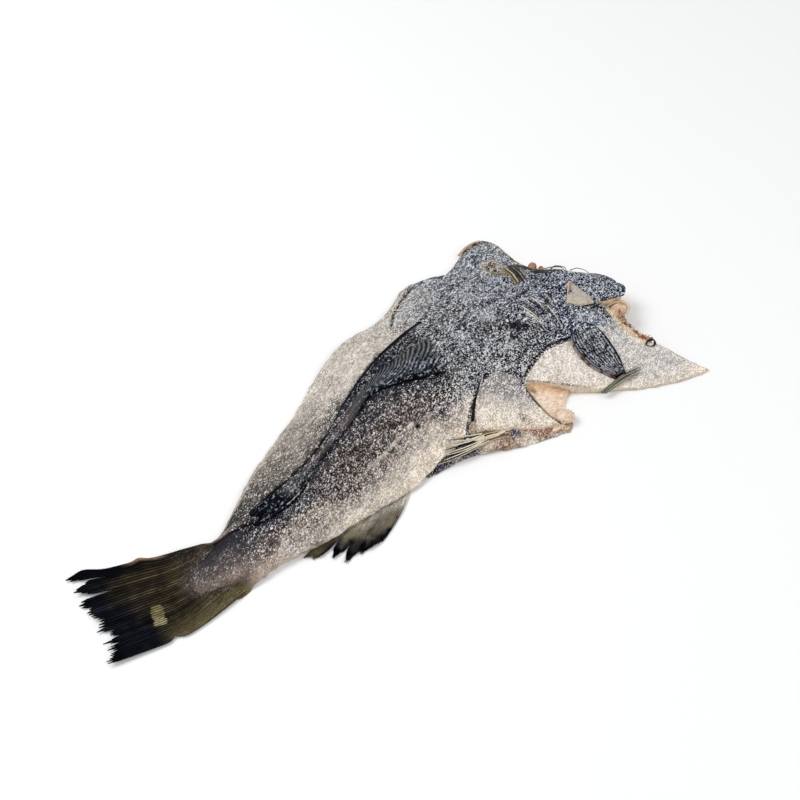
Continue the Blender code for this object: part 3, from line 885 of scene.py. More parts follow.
def body_flecks(points, tint):
    """Flecks of the body's skin, fewer on the tongue, the stalk, the far flank and the scratch."""
    x, y = points.x, points.y
    kept = fleck_strength(tint, x, y)
    beyond = ramp((y - follow(DARK_LIMIT, x)) / 0.004)
    for bare in (0.7 * off_tongue(x, y), spot(x, y, DOT, 0.0055, 0.005), 0.35 * before(x, -0.12, 0.06),
            0.13 * before(x, 0.07, 0.04), 0.45 * before(x, -0.15, 0.04),
            0.14 * spot(x, y, (0.14, 0.048), 0.044, 0.022, 26), 0.3 * on_line(x, y, SCRATCH, 0.0026),
            beyond * (0.12 + 0.33 * before(x, -0.01, 0.05))):
        kept = kept * (1 - bare)
    return kept


MUSCLE_SPACING = 0.013
MUSCLE_SLANT = 0.55


def muscle_lines(x, y):
    """Distance from the back line, and 0 in the slanting grooves between layers of muscle."""
    middle = np.abs(y - follow(BACK_Y, x))
    wave = math.pi * (x + MUSCLE_SLANT * middle) / MUSCLE_SPACING + 0.8 * rough(x, y, 0.03, 9)
    return middle, np.abs(np.sin(wave))


def flesh_side_tint(x, y, z, look):
    """Cream flesh with slanting muscle lines and a brown line along the back."""
    middle, lines = muscle_lines(x, y)
    tint = shades(((0.0, look.flesh_peach), (0.5, look.flesh), (1.0, look.flesh_pale)),
        0.5 + 0.6 * rough(x, y, 0.035, 10))
    return layered(
        deepen(tint, -0.3 * (1 - ramp(lines * 3.0))),
        (look.flesh_brown, 0.75 * ramp(1.4 - middle / 0.005) * before(x, 0.24, 0.06)),
        # Painted shade in the flap's crack where the flesh rises.
        (look.ink_and_shade, 0.95 * on_line(x, y, FLAP_CRACK, 0.006) * past(z, 0.006, 0.004)))


FLESH_DETAIL = 0.75


def coarser(*counts):
    """Fewer columns and rows, as flesh needs less detail than skin."""
    return (int(FLESH_DETAIL * count) for count in counts)


def make_body(sizes, look):
    """The body's skin, a thin sheet, and the flesh that it lies on."""
    def skin(points):
        u, v = crowded(points.u, 0.3), crowded(points.v)
        x, y = body_plan(u, 2 * v - 1)
        z = body_surface(x, y, u, v)
        full = fullness(u, v, 0.003, 0.012)
        low = np.maximum(0.0004, z - sizes.skin_thickness)
        return x, y, low, np.maximum(low + 0.0003, z - 0.0008 * (1 - full))

    def flesh(points):
        u, v = crowded(points.u, 0.3), crowded(points.v)
        x, y = body_plan(0.03 + 0.96 * u, (2 * v - 1) * 0.965)
        z = body_surface(x, y, u, v) - 0.5 * sizes.skin_thickness
        low = np.minimum(z - BODY_EDGE_THICKNESS, underside(z)) + 0.0005 * rough(x, y, 0.012, 11)
        low = low + 0.0006 * (1 - ramp(muscle_lines(x, y)[1] * 2.5))
        return turned_over(x, y, low, z, fullness(u, v, 0.006, 0.02), 0.45, 0.0, 0.0012)

    piece, points = sheets("body_skin", sizes.body_columns, sizes.body_rows, skin)
    points.v = crowded(points.v)
    tint = body_tint(points, look)
    keep(piece, skin_material(), tint, body_flecks(points, tint))
    piece, points = sheets("body_flesh", *coarser(sizes.body_columns, sizes.body_rows), flesh)
    rim = ramp(12 * np.abs(2 * points.v - 1) - 10) * before(points.x, -0.02, 0.05)
    tint = flesh_side_tint(points.x, points.y, points.top * points.z, look)
    keep(piece, flesh_material(), cover(tint, look.far_rim, 0.85 * rim))


# ----- Torn belly flaps and shoulder wings -----

def skin_on_flesh(name, sides, rise, thickness, columns, rows, colours, sizes, look, clearance,
        rims=(0.02, 0.03), inset=0.005):
    """A torn sheet: skin over a slightly larger layer of flesh, bent over the back shape."""
    def surface(u, v, x, y):
        return np.maximum(0.0025, back_height(x, y) + rise(u, v, x, y) + skin_relief(x, y))

    def plan(u, v):
        x, y = patch(sides, u, v)
        edge = 1 - fullness(u, v, 0.06, 0.06)
        return x + 0.0011 * rough(x, y, 0.006, 12) * edge, y + 0.0011 * rough(x, y, 0.006, 13) * edge

    def drawn_in(t):
        return inset + (1 - 2 * inset) * crowded(t)

    def skin(points):
        u, v = drawn_in(points.u), drawn_in(points.v)
        x, y = plan(u, v)
        z = surface(u, v, x, y)
        full = fullness(crowded(points.u), crowded(points.v), *rims)
        return x, y, z - sizes.skin_thickness, z - 0.0007 * (1 - full)

    def flesh(points):
        u, v = crowded(points.u), crowded(points.v)
        x, y = plan(u, v)
        z = surface(u, v, x, y) - 0.5 * sizes.skin_thickness
        low = np.minimum(z - thickness, underside(z)) + 0.0005 * rough(x, y, 0.012, 14)
        return turned_over(x, y, low, z, fullness(u, v, *rims), 0.5, clearance, 0.001)

    piece, points = sheets(name + "_skin", columns, rows, skin)
    points.u, points.v = drawn_in(points.u), drawn_in(points.v)
    tint = colours(points)
    keep(piece, skin_material(), 0.97 * tint, fleck_strength(tint, points.x, points.y, 0.34))
    piece, points = sheets(name + "_flesh", *coarser(columns, rows), flesh)
    x, y, z = points.x, points.y, points.top * points.z
    rim = ramp(1.5 - 1.5 * fullness(points.u, points.v, 0.1, 0.1))
    keep(piece, flesh_material(), layered(
        flesh_side_tint(x, y, z, look), (look.cream, 0.7 * rim),
        # Painted shade in the flap's crack where the flesh rises.
        (look.ink_and_shade, 0.95 * on_line(x, y, FLAP_CRACK, 0.0085) * past(z, 0.008, 0.004))), 0.15)


def make_belly_flap(sizes, look):
    """The torn belly flap, its three free edges curled up a little."""
    def rise(u, v, x, y):
        return 0.0016 * ramp(1 - 7 * u) + 0.001 * ramp(1 - 7 * v) + 0.0012 * ramp(7 * u - 6) - 0.0008 * v

    def colours(points):
        x, y, u, v = points.x, points.y, points.u, points.v
        blotch = rough(x, y, 0.022, 20)
        tint = shades(((0.0, look.flap_low), (0.35, look.flap), (0.62, look.flap_grey),
            (0.8, look.flap_grey), (0.95, look.shoulder_pale)), v + 0.14 * blotch + 0.12 * (u - 0.5))
        tint = layered(
            tint, (look.stain, 0.55 * spot(x, y, (0.133, -0.088), 0.013, 0.006,
                -70) * ramp(0.8 + rough(x, y, 0.006, 21))),
            (look.stain, 0.28 * ramp(1 - 9 * v) * ramp(1 + 1.8 * blotch)),
            # Painted shade in the crack at the flap's tail end and along the wing's crack.
            (look.ink_and_shade, 0.95 * ramp(1.4 - 75 * u) + 0.55 * on_line(x, y, WING_CRACK[4:-1], 0.0022)))
        return deepen(tint, 0.14 * rough(x, y, 0.01, 22) + 0.08 * rough(x, y, 0.0045, 27))

    skin_on_flesh("belly_flap", BELLY_FLAP, rise, 0.0075, 90, 80, colours, sizes, look, 0.0009)


def make_shoulder_wing(sizes, look):
    """The pointed near shoulder wing: pinkish cream, shaded grey-purple towards its cut edge."""
    def rise(u, v, x, y):
        return 0.001 * (1 - v) * (1 - u) - 0.0008 - 0.004 * ramp(2 * v - 1) * ramp(4 * u - 3)

    def colours(points):
        x, y, v = points.x, points.y, points.v
        blotch, fray = rough(x, y, 0.024, 23), rough(x, y, 0.005, 76)
        lengthwise, crosswise = turned(x, y, -62)
        tint = shades(((0.15, look.flap_pink), (0.225, look.flap_pink), (0.262, look.wing),
            (0.3, look.wing), (0.328, look.flap)), x + 0.01 * blotch)
        tint = layered(
            tint,
            (look.wing_shade, 0.75 * ramp(1.3 * blotch + 0.25 + 3.2 * (v - 0.45)) * past(x, 0.235, 0.04)),
            (look.flap_low, 0.55 * ramp(1 - 5.5 * v)),
            (look.shoulder_pale, 0.85 * past(y, -0.064, 0.02) * past(x, 0.215, 0.03)
                * ramp((0.298 - x + 0.2 * (y + 0.04)) / 0.016)),
            (look.nape, 0.45 * past(y, -0.052, 0.014) * past(x, 0.235, 0.02) * ramp(0.8 + blotch)),
            (look.stain, 0.8 * spot(x, y, WING_TIP, 0.006, 0.005)),
            (look.stain, 0.6 * ramp(1.2 - 16 * v) * before(x, 0.225, 0.03)),
            # Painted shade in the crack under the body's edge and in the slit by the nape.
            (look.ink_and_shade, 0.95 * on_line(x, y, WING_CRACK[:6], 0.003)),
            (look.ink_and_shade, 0.95 * on_line(x, y, SLIT, 0.006)),
            (look.flesh, 0.9 * on_line(x, y, CUT_BAND, 0.0075 + 0.002 * fray)),
            (look.cut_red_and_shadow, 0.7 * on_line(x, y, CUT_EDGE, 0.004) * ramp(0.6 + 2 * fray)))
        return deepen(tint, 0.17 * rough(lengthwise, crosswise * 6, 0.034, 24)
            + 0.15 * rough(lengthwise, crosswise * 4, 0.009, 78) + 0.08 * rough(x, y, 0.0045, 27))

    skin_on_flesh("shoulder_wing", SHOULDER_WING, rise, 0.0065, 190, 90, colours, sizes, look, 0.0011,
        rims=(0.012, 0.03), inset=0.006)


HOLLOW_HALF = mm((13.5, 9.5))
HOLLOW_TURN = 100
FAR_RIM_SHADE = mm(((222, 136), (240, 138.5), (252, 137)))


def from_hollow(x, y):
    """Distance from the middle of the far wing's hollow, 1 on its rim."""
    lengthwise, crosswise = turned(x - FAR_HOLLOW[0], y - FAR_HOLLOW[1], HOLLOW_TURN)
    return np.hypot(lengthwise / HOLLOW_HALF[0], crosswise / HOLLOW_HALF[1])


def make_far_wing(sizes, look):
    """The blunt far shoulder wing, with the tan hollow where the far chest fin grew."""
    def rise(u, v, x, y):
        far = from_hollow(x, y)
        return (-0.001 - 0.006 * ramp(2.2 * u - 0.5) * ramp(1.6 * v)
            + 0.0016 * ramp(1 - np.abs(far - 1) / 0.35) - 0.0022 * ramp(1.2 - far))

    def colours(points):
        x, y, u, v = points.x, points.y, points.u, points.v
        blotch = rough(x, y, 0.02, 25)
        hollow = 0.9 * spot(x, y, FAR_HOLLOW, 0.013, 0.009, HOLLOW_TURN)
        tint = shades(((0.0, look.far_cool), (0.5, look.shoulder), (1.0, look.shoulder_dark)),
            0.1 + 0.5 * blotch)
        return layered(
            tint, (look.stain, hollow), (look.tan, hollow * ramp(3.0 * rough(x, y, 0.005, 26))),
            (look.straw, 0.85 * ramp(1 - np.abs(from_hollow(x, y) - 1) / 0.28)
                * ramp(1.1 + 1.5 * blotch)),
            (look.ink_and_shade, 0.85 * on_line(x, y, FAR_SHADOW, 0.0035)),
            (look.black, 0.6 * ramp(5 * rough(x, y, 0.006, 77) - 1.6) * past(x, 0.238, 0.01)),
            (look.olive, 0.85 * ramp(1 - 9 * v) * past(x, 0.225, 0.015)),
            (look.olive, 0.7 * ramp(9 * u - 8) * ramp(1.2 + 1.6 * blotch)),
            (look.black, 0.8 * on_line(x, y, FAR_RIM_SHADE, 0.0018)))

    skin_on_flesh("far_wing", FAR_WING, rise, 0.006, 130, 110, colours, sizes, look, 0.0006,
        rims=(0.015, 0.03))


def make_belly_lining(sizes, look):
    """The smooth peach lining under the open cut, black with painted shade where it dips under the flap and
    along the cracks, and with a painted shadow under the shoulder wing's edge.
    """
    def place(points):
        u, v = crowded(points.u), crowded(points.v)
        x, y = patch(BELLY_LINING, u, v)
        y = y + 0.0014 * rough(x, y, 0.007, 27) * (1 - fullness(u, v, 0.06, 0.1))
        lengthwise, crosswise = turned(x, y, -64)
        z = (back_height(x, y) - 0.006 + 0.003 * v + 0.0007 * rough(lengthwise, crosswise * 5, 0.03, 28)
            + 0.0004 * rough(x, y, 0.01, 29))
        z = np.maximum(0.0025, z)
        low = np.minimum(z - 0.005, underside(z))
        return turned_over(x, y, low, z, fullness(u, v, 0.02, 0.06), 0.45, 0.0005, 0.0012)

    piece, points = sheets("belly_lining", 190, 60, place)
    x, y = points.x, points.y
    shade = line_distance(x, y, SHOULDER_WING[0][:4])
    tint = shades(((0.0, look.peach_deep_and_shadow), (0.5, look.peach), (1.0, look.peach_pale)),
        0.55 + 0.5 * rough(x, y, 0.02, 30))
    keep(piece, flesh_material(), layered(
        # Painted shade: black in the wing's crack, where the lining lies under the flap and in the corner
        # at the crack's top; then a painted shadow, deep peach and red-brown, under the shoulder wing's
        # lower edge.
        tint, (look.ink_and_shade, on_line(x, y, WING_CRACK[4:], 0.005)), (look.ink_and_shade, 0.95 * before(x, 0.15, 0.004)),
        (look.black, 0.85 * spot(x, y, (0.16, -0.064), 0.009, 0.0045, -70)),
        (look.peach_deep_and_shadow, 0.8 * ramp(1.4 - shade / 0.006)),
        (look.cut_red_and_shadow, 0.6 * ramp(1.2 - shade / 0.0028) * past(x, 0.172, 0.01))), 0.1)


KNOT = mm((115.5, -94.5))


def make_belly_rim(sizes, look):
    """The rim below the belly flap: cream skin, a dark torn membrane and red-brown cut flesh."""
    def place(points):
        u, v = crowded(points.u), crowded(points.v)
        x, y = patch(BELLY_RIM, u, v)
        y = y + 0.0018 * rough(x, y, 0.008, 31) * (1 - fullness(u, v, 0.06, 0.2))
        z = (back_height(x, y) - 0.002 - 0.001 * v + 0.0012 * rough(x, y, 0.008, 32)
            + 0.003 * spot(x, y, KNOT, 0.008, 0.007))
        z = np.maximum(0.0022, z)
        low = np.minimum(z - 0.006, underside(z))
        return turned_over(x, y, low, z, fullness(u, v, 0.02, 0.12), 0.4, 0.0007, 0.0012)

    piece, points = sheets("belly_rim", 170, 34, place)
    x, y, v = points.x, points.y, points.v
    blotch = rough(x, y, 0.009, 33)
    torn = before(x, 0.082, 0.012) * ramp(1.5 - np.abs(v - 0.35) / 0.4)
    red = within(x, 0.12, 0.006, 0.158, 0.01) * past(v, 0.25, 0.25)
    beneath = (1 - points.top) * ramp(3 * fullness(points.u, v, 0.04, 0.3) - 2)
    tint = shades(((0.0, look.cream), (0.5, look.stain), (1.0, look.cream)), 0.35 + 0.5 * blotch)
    keep(piece, skin_material(), layered(
        tint, (look.membrane, torn), (look.straw, 0.6 * past(v, 0.55, 0.2) * before(x, 0.105, 0.02)),
        (look.membrane, 0.9 * spot(x, y, KNOT, 0.007, 0.0085, 65)),
        (look.cut_red_and_shadow, 0.75 * red * ramp(0.9 + 1.5 * blotch)),
        (look.black, 0.6 * red * ramp(-3 * blotch - 0.6)),
        (look.tan, 0.8 * past(x, 0.156, 0.006)),
        (flesh_side_tint(x, y, np.zeros(len(x)), look), beneath)), (1 - beneath) * (0.35 + 0.5 * torn))


# ----- Fins -----

def crest(u, width=0.16):
    """1 along the middle of a ray and 0 on the membrane beside it."""
    return np.exp(-((u - 0.5) / width) ** 2)


def parted(across, middle, t, slits):
    """Rays pushed apart beside each slit, more and more towards the fin's end."""
    for share, start, gap in slits:
        away = middle - share
        push = gap * np.sign(away) * np.exp(-np.abs(away) / 0.04)
        across = across + push * ramp((t - start) / (1 - start))
    return across


def waves(turns):
    """0 to 1 and back with each whole turn: a ray's height, or its colour, across a folded fin."""
    return 0.5 + 0.5 * np.cos(2 * math.pi * turns)


TAIL_START = 0.193
TAIL_LENGTH = 0.12
BARE_PATCH = mm((-268.5, -67))
BARE_PATCH_HALF = mm((5.6, 10.5))
BARE_PATCH_TURN = -17
TAIL_NICK = mm(((-270, -92.5), (-265, -96.5)))


def make_tail_fin(sizes, look):
    """Fine rays side by side, torn into pointed black tufts at the end."""
    count = sizes.tail_rays
    draws = random.Random(11)
    middles = (np.arange(count) + 0.5) / count
    reaches = np.interp(middles, *np.array(TAIL_REACH).T)
    reaches = reaches + [draws.uniform(-0.0014, 0.001) for k in middles]
    gleam = np.array([draws.uniform(0.15, 1.0) for k in middles])

    def place(points):
        k, t = points.sheet, points.v
        middle = middles[k]
        v = t * (reaches[k] - TAIL_START) / (-along(TAIL_END, middle)[:, 0] - TAIL_START)
        across = middle + (points.u - 0.5) / count * (1.1 - 0.85 * past(t, 0.95, 0.05))
        across = parted(across, middle, t, TAIL_SLITS)
        x, y = patch((TAIL_ROOT, TAIL_END, TAIL_LOWER, TAIL_UPPER), np.clip(across, 0, 1), v)
        bumps = 0.0032 * np.exp(-((x + 0.252) / 0.0055) ** 2) + 0.0055 * np.exp(-((x + 0.3) / 0.011) ** 2)
        dent = 0.0032 * np.exp(-((x + 0.267) / 0.005) ** 2) * before(across, 0.14, 0.14)
        y = y + bumps * past(across, 0.84, 0.16) + dent
        free = ramp((-x - 0.214) / 0.045)
        curl = 0.004 * v ** 3 * (0.6 + 0.4 * np.sin(23 * middle + 1))
        curl = curl + 0.0004 * (1 + np.sin(9 * across + 5 * v))
        low = 0.0006 + curl * free
        high = low + 0.0013 * (1 - 0.5 * t) + 0.0007 * crest(points.u, 0.22) * (1.1 - t)
        sunk = 0.0036 - 0.0032 * off_tongue(x, y) * before(x, -0.188, 0.012)
        return x, y, low, high + (1 - free) * np.maximum(0, back_height(x, y) - sunk - high)

    piece, points = sheets("tail_fin", 6, 70, place, count)
    k, x, y = points.sheet, points.x, points.y
    ray, off, blotch = crest(points.u, 0.22), off_tongue(x, y), rough(x, y, 0.022, 40)
    middle = (k + points.u) / count
    lower = ramp(1.25 - 4.2 * middle) * past(x, -0.285, 0.03)
    reach = -x + 0.016 * blotch + 0.04 * (0.5 - middle) + 0.05 * past(middle, 0.86, 0.1)
    membrane = shades(((0.195, look.stalk_brown), (0.23, look.fin_brown), (0.262, look.fin_brown),
        (0.282, look.fin_dark), (0.3, look.fin_black), (0.33, look.fin_black)), reach)
    rays = shades(((0.195, look.fin_ray), (0.245, look.fin_ray), (0.29, look.fin_slate),
        (0.312, look.fin_slate), (0.324, look.fin_black)), reach)
    rays = layered(rays, (look.olive, 0.8 * lower),
        (look.fin_grey, 0.6 * past(x, -0.225, 0.02) * (1 - lower)))
    across, lengthwise = turned(x - BARE_PATCH[0], y - BARE_PATCH[1], BARE_PATCH_TURN)
    ragged = 0.0022 * (gleam[k] - 0.65) + 0.0008 * rough(x, y, 0.004, 44)
    inside = ramp((BARE_PATCH_HALF[0] + ragged - np.abs(across)) / 0.0008 + 0.5) * ramp(
        (BARE_PATCH_HALF[1] - np.abs(lengthwise)) / 0.001 + 0.5)
    rim = ramp(1.5 - 26 * (1 - middle) + 0.8 * blotch) * past(x, -0.272, 0.02) * before(x, -0.226, 0.02)
    nick = line_distance(x, y, TAIL_NICK)
    tint = layered(
        membrane, (look.fin_olive, 0.4 * lower),
        (rays, ray * gleam[k] * ramp(0.62 + 0.45 * rough(x, y, 0.007, 43))),
        (look.stalk, 0.85 * (1 - off) * past(x, -0.25, 0.02)),
        (look.fin_black, 0.6 * past(middle, 0.8, 0.12) * before(x, -0.2, 0.02)), (look.tan, 0.45 * rim),
        (look.bare_fin, inside * (0.25 + 0.75 * ray)),
        (look.straw, 0.55 * inside * ray * ramp(-lengthwise / 0.004)),
        (look.fin_black, 0.7 * spot(x, y, (-0.279, -0.064), 0.01, 0.009) * (1 - inside)),
        (look.far_cool, 0.45 * ramp(0.7 - nick / 0.0016 + 2.2 * rough(x, y, 0.002, 45))))
    lay_rays(piece, k + points.u, points.v * TAIL_LENGTH)
    keep(piece, fin_material(), deepen(tint, 0.3 * rough(x, y, 0.014, 47) - 0.12 * (1 - lower)),
        0.2 * (1 - off) * past(x, -0.25, 0.02) + 0.18 * past(x, -0.25, 0.03))


ANAL_LENGTH = 0.04


def make_rear_anal_fin(sizes, look):
    """A fan of fine rays under the near flank, torn into a few dark-ended tufts."""
    count = sizes.anal_rays
    draws = random.Random(23)
    middles = (np.arange(count) + 0.5) / count
    spiky = np.repeat([draws.uniform(-0.05, 0.03) for k in range(count // 2 + 1)], 2)[:count]
    reaches = np.interp(middles, *np.array(ANAL_REACH).T) + spiky

    def place(points):
        middle = middles[points.sheet]
        t = points.v * np.minimum(1.03, reaches[points.sheet])
        across = middle + (points.u - 0.5) / count * (1.2 - 0.8 * past(points.v, 0.92, 0.08))
        across = np.clip(parted(across, middle, points.v, ANAL_SLITS), 0, 1)
        x, y = mix(along(ANAL_BASE, across), along(ANAL_END, across), t).T
        y = y - 0.0035 * np.sin(math.pi * t) * across ** 2
        low = (0.0006 + 0.001 * np.abs(rough(x, y, 0.02, 41))
            + 0.0015 * points.v ** 2 * np.sin(19 * middle) ** 2)
        return x, y, low, low + 0.0014 * (1 - 0.5 * points.v) + 0.0005 * crest(points.u, 0.22)

    piece, points = sheets("rear_anal_fin", 6, 44, place, count)
    x, y = points.x, points.y
    ray = crest(points.u, 0.2)
    t = points.v + 0.16 * rough(x, y, 0.012, 42)
    share = (points.sheet + points.u) / count
    seams = rough(0.2 * share, 0.022 * t, 0.01, 49)
    inner = before(t, 0.85, 0.3)
    membrane = shades(((0.26, look.far_rim), (0.5, look.fin_grey), (0.75, look.fin_dark),
        (0.98, look.fin_black)), t)
    rays = shades(((0.26, look.far_rim), (0.62, look.anal_pale), (0.88, look.fin_moss),
        (1.0, look.fin_black)), t)
    lay_rays(piece, points.sheet + points.u, points.v * ANAL_LENGTH)
    keep(piece, fin_material(), layered(
        membrane, (rays, ray * ramp(0.55 + 1.4 * rough(x, y, 0.005, 46))),
        (look.membrane, 0.45 * ramp(2 * rough(x, y, 0.006, 48)) * within(t, 0.3, 0.2, 0.95, 0.2)),
        (look.fin_black, 0.45 * ramp(1.4 - np.abs(share - 0.56) / 0.12) * past(t, 0.55, 0.4)),
        (look.fin_black, 0.55 * ramp(4.0 * seams - 0.2) * past(t, 0.35, 0.2)),
        (look.straw, 0.6 * ray * ramp(1.3 - np.abs(share - 0.4) / 0.22) * inner),
        (look.fin_olive, 0.5 * ramp(1.3 - np.abs(share - 0.1) / 0.12)),
        (look.anal_pale, 0.5 * within(share, 0.62, 0.2, 0.97, 0.03) * inner)), 0.3 * before(t, 0.6, 0.4))


def folded_fin(name, sides, columns, rows, rise, thickness, colours, flecks):
    """A fin folded flat on the back, one closed sheet with its rays raised on it."""
    def place(points):
        u, v = crowded(points.u, 0.4), crowded(points.v, 0.4)
        x, y = patch(sides, u, v)
        z = back_height(x, y) + rise(u, v, x, y)
        full = fullness(u, v, 0.02, 0.05)
        return x, y, z - thickness, z - 0.0009 * (1 - full)

    piece, points = sheets(name, columns, rows, place)
    points.u, points.v = crowded(points.u, 0.4), crowded(points.v, 0.4)
    keep(piece, skin_material(), colours(points.x, points.y, points.u, points.v),
        flecks(points.u, points.v))


def make_second_back_fin(sizes, look):
    """The second back fin, its rays in a curved fan over the dark front part."""
    def fan(u, v):
        return sizes.dorsal_rays * (u - (0.85 - 0.62 * u) * 0.8 * v) + 0.35 * np.sin(23 * u + 5 * v)

    def rise(u, v, x, y):
        relief = (0.0006 * waves(fan(u, v)) ** 2 * ramp(6 * v) * ramp(6 - 6 * v) * ramp(7 - 7 * u)
            * ramp(5 * u - 1.4) * ramp(0.7 + rough(x, y, 0.009, 63)) + 0.0004 * rough(x, y, 0.006, 50))
        return DORSAL_RISE * ramp(4 * v) * ramp(5 * (1 - u) + 0.2) + relief

    def colours(x, y, u, v):
        blotch, small = rough(x, y, 0.016, 51), rough(x, y, 0.006, 57)
        ray = waves(fan(u, v) + (1.6 * blotch + 1.5 * small) / (2 * math.pi)) ** 2
        front = past(u, 0.28, 0.14)
        window = front * within(v, 0.1, 0.2, 0.8, 0.16) * before(u, 0.97, 0.1)
        strokes = front * within(v, 0.06, 0.04, 0.58, 0.12) * (0.4 + 0.6 * ray)
        strip = shades(((0.0, look.fin_slate), (0.5, look.stalk), (1.0, look.fin_slate)), v + 0.3 * small)
        tint = shades(((0.0, look.ink_and_shade), (0.36, look.ink_and_shade), (0.52, look.fin_moss), (0.64, look.fin_moss),
            (0.76, look.black), (1.0, look.black)), v + 0.1 * blotch)
        return layered(
            tint, (look.ink_and_shade, 0.85 * window * (1 - ray) * ramp(1.0 + small)),
            (look.pale_ray_and_highlight, 0.3 * window * ray * ramp(0.7 + 1.2 * small)),
            (look.pale_ray_and_highlight, 0.95 * strokes * ramp((noise(x, y, 0.0014, 61) - 0.69) / 0.06)),
            (look.shoulder, 0.85 * past(u, 0.86, 0.08) * ramp(0.9 + blotch)), (strip, 1 - front),
            # Black along the free edge, partly its dark rim and partly painted shade under it, and black
            # along the base.
            (look.ink_and_shade, np.maximum(past(v, 0.955, 0.015),
                0.9 * before(v, 0.1, 0.05) * before(u, 0.97, 0.05))))

    def flecks(u, v):
        strength = 0.14 + 0.22 * past(v, 0.66, 0.08) + 0.25 * before(u, 0.36, 0.1)
        strength = strength + (1 - strength) * past(u, 0.86, 0.06)
        return strength * within(v, 0.05, 0.04, 0.96, 0.03)

    folded_fin("second_back_fin", MIDDLE_DORSAL, 250, 84, rise, 0.005, colours, flecks)


LAST_DORSAL_RAYS = 8


def make_third_back_fin(sizes, look):
    """The third back fin, folded so flat that its rays run along the fish."""
    def rise(u, v, x, y):
        relief = (0.0008 * waves(LAST_DORSAL_RAYS * v) ** 2 * ramp(5 * v) * ramp(5 - 5 * v)
            + 0.0003 * rough(x, y, 0.006, 52))
        return DORSAL_RISE * ramp(4 * v) * ramp(3 * u + 0.4) + relief

    def colours(x, y, u, v):
        small = rough(x, y, 0.004, 58)
        ray = waves(LAST_DORSAL_RAYS * v + 0.8 * rough(x, y, 0.02, 53) / (2 * math.pi)) ** 4
        dashes = noise(0.115 * u, 0.06 * v, 0.0026, 59)
        line = ramp(1.2 - np.abs(v - 0.13) / 0.022) * within(u, 0.4, 0.04, 0.72, 0.04)
        return layered(
            np.tile(linear(look.ink_and_shade), (len(x), 1)), (look.fin_blue, 0.7 * ray * ramp(0.6 + 1.6 * small)),
            (look.fin_moss, 0.65 * within(v, 0.25, 0.3, 0.92, 0.1) * past(u, 0.45, 0.2)),
            (look.pale_ray_and_highlight, 0.6 * past(dashes, 0.74, 0.06) * past(u, 0.08, 0.05)),
            # A painted highlight line, in salt's colour, along the fin's near part.
            (look.salt, 0.9 * line * ramp(0.4 + 2.5 * small)),
            # Black along both edges, along the free edge partly painted shade under it.
            (look.ink_and_shade, np.maximum(past(v, 0.92, 0.03), before(v, 0.09, 0.03))))

    def flecks(u, v):
        return (0.1 + 0.3 * past(u, 0.5, 0.2)) * within(v, 0.04, 0.05, 0.95, 0.05)

    folded_fin("third_back_fin", LAST_DORSAL, 150, 50, rise, 0.005, colours, flecks)


def make_near_pectoral(sizes, look):
    """The near chest fin lying on the shoulder, its rays running from its root to its tip."""
    count = sizes.pectoral_rays

    def rise(u, v, x, y):
        relief = (0.0008 * waves(count * v) ** 2 * ramp(5 * u) + 0.0012 * ramp(1 - 5 * v) * ramp(4 * u)
            + 0.0004 * rough(x, y, 0.006, 55))
        return PECTORAL_RISE * ramp(3 * u + 0.15) * (1 - 0.2 * u) + relief

    def colours(x, y, u, v):
        ray = waves(count * v) ** 2
        highlight_marks = ramp((noise(x, y, 0.002, 56) - 0.36) / 0.1)
        tint = shades(((0.0, look.nape), (0.14, look.fin_slate), (0.5, look.black), (1.0, look.ink_and_shade)), u)
        return layered(
            tint, (look.ink_and_shade, 0.7 * (1 - ray) * past(u, 0.15, 0.2)),
            # Painted highlights on the ray crests.
            (look.pale_ray_and_highlight, 0.85 * ray * highlight_marks * within(u, 0.08, 0.1, 0.99, 0.1)),
            (look.ink_and_shade, 0.9 * past(v, 0.93, 0.05)),
            (look.stain, 0.45 * before(v, 0.08, 0.05) * past(u, 0.18, 0.1)))

    def flecks(u, v):
        return (0.8 - 0.46 * ramp(2.5 * u)) * within(v, 0.12, 0.04, 0.98, 0.04) * before(u, 0.995, 0.04)

    folded_fin("near_chest_fin", NEAR_PECTORAL, 120, 80, rise, 0.0042, colours, flecks)


# ----- Loose rays, strands and lumps -----

def over_back(x, y):
    """The back's height over one plan point."""
    return float(back_height(np.array([x]), np.array([y]))[0])


def sticks(name, routes, radius, colours, flatten=1.0, steps=10, seed=1, tip=0.45):
    """Stiff dried rays, their colours taken in turn. Routes are plan points with a height over the back."""
    draws = random.Random(seed)
    bm = bmesh.new()
    starts = [0]
    shares = np.linspace(0, 1, steps)
    for route in routes:
        plan = along([(x, y) for x, y, lift in route], shares)
        lifts = np.interp(shares, np.linspace(0, 1, len(route)), [lift for x, y, lift in route])
        bend = draws.uniform(-0.0004, 0.0004)
        points = [(x, y, max(radius * 0.6, over_back(x, y) + lift) + bend * math.sin(math.pi * t))
            for t, (x, y), lift in zip(shares, plan, lifts)]
        size = radius * draws.uniform(0.75, 1.2)
        tube(bm, points, lambda t, size=size: size * (1 - (1 - tip) * t ** 1.5), 6, flatten)
        starts.append(len(bm.verts))
    piece = closed_object(name, bm)
    x, y, z = places(piece)
    stick = np.searchsorted(starts, np.arange(len(x)), side="right") - 1
    tint = np.array([linear(colour) for colour in colours])[stick % len(colours)]
    keep(piece, straw_material(), deepen(tint, 0.25 * rough(x, y, 0.006, 60)))


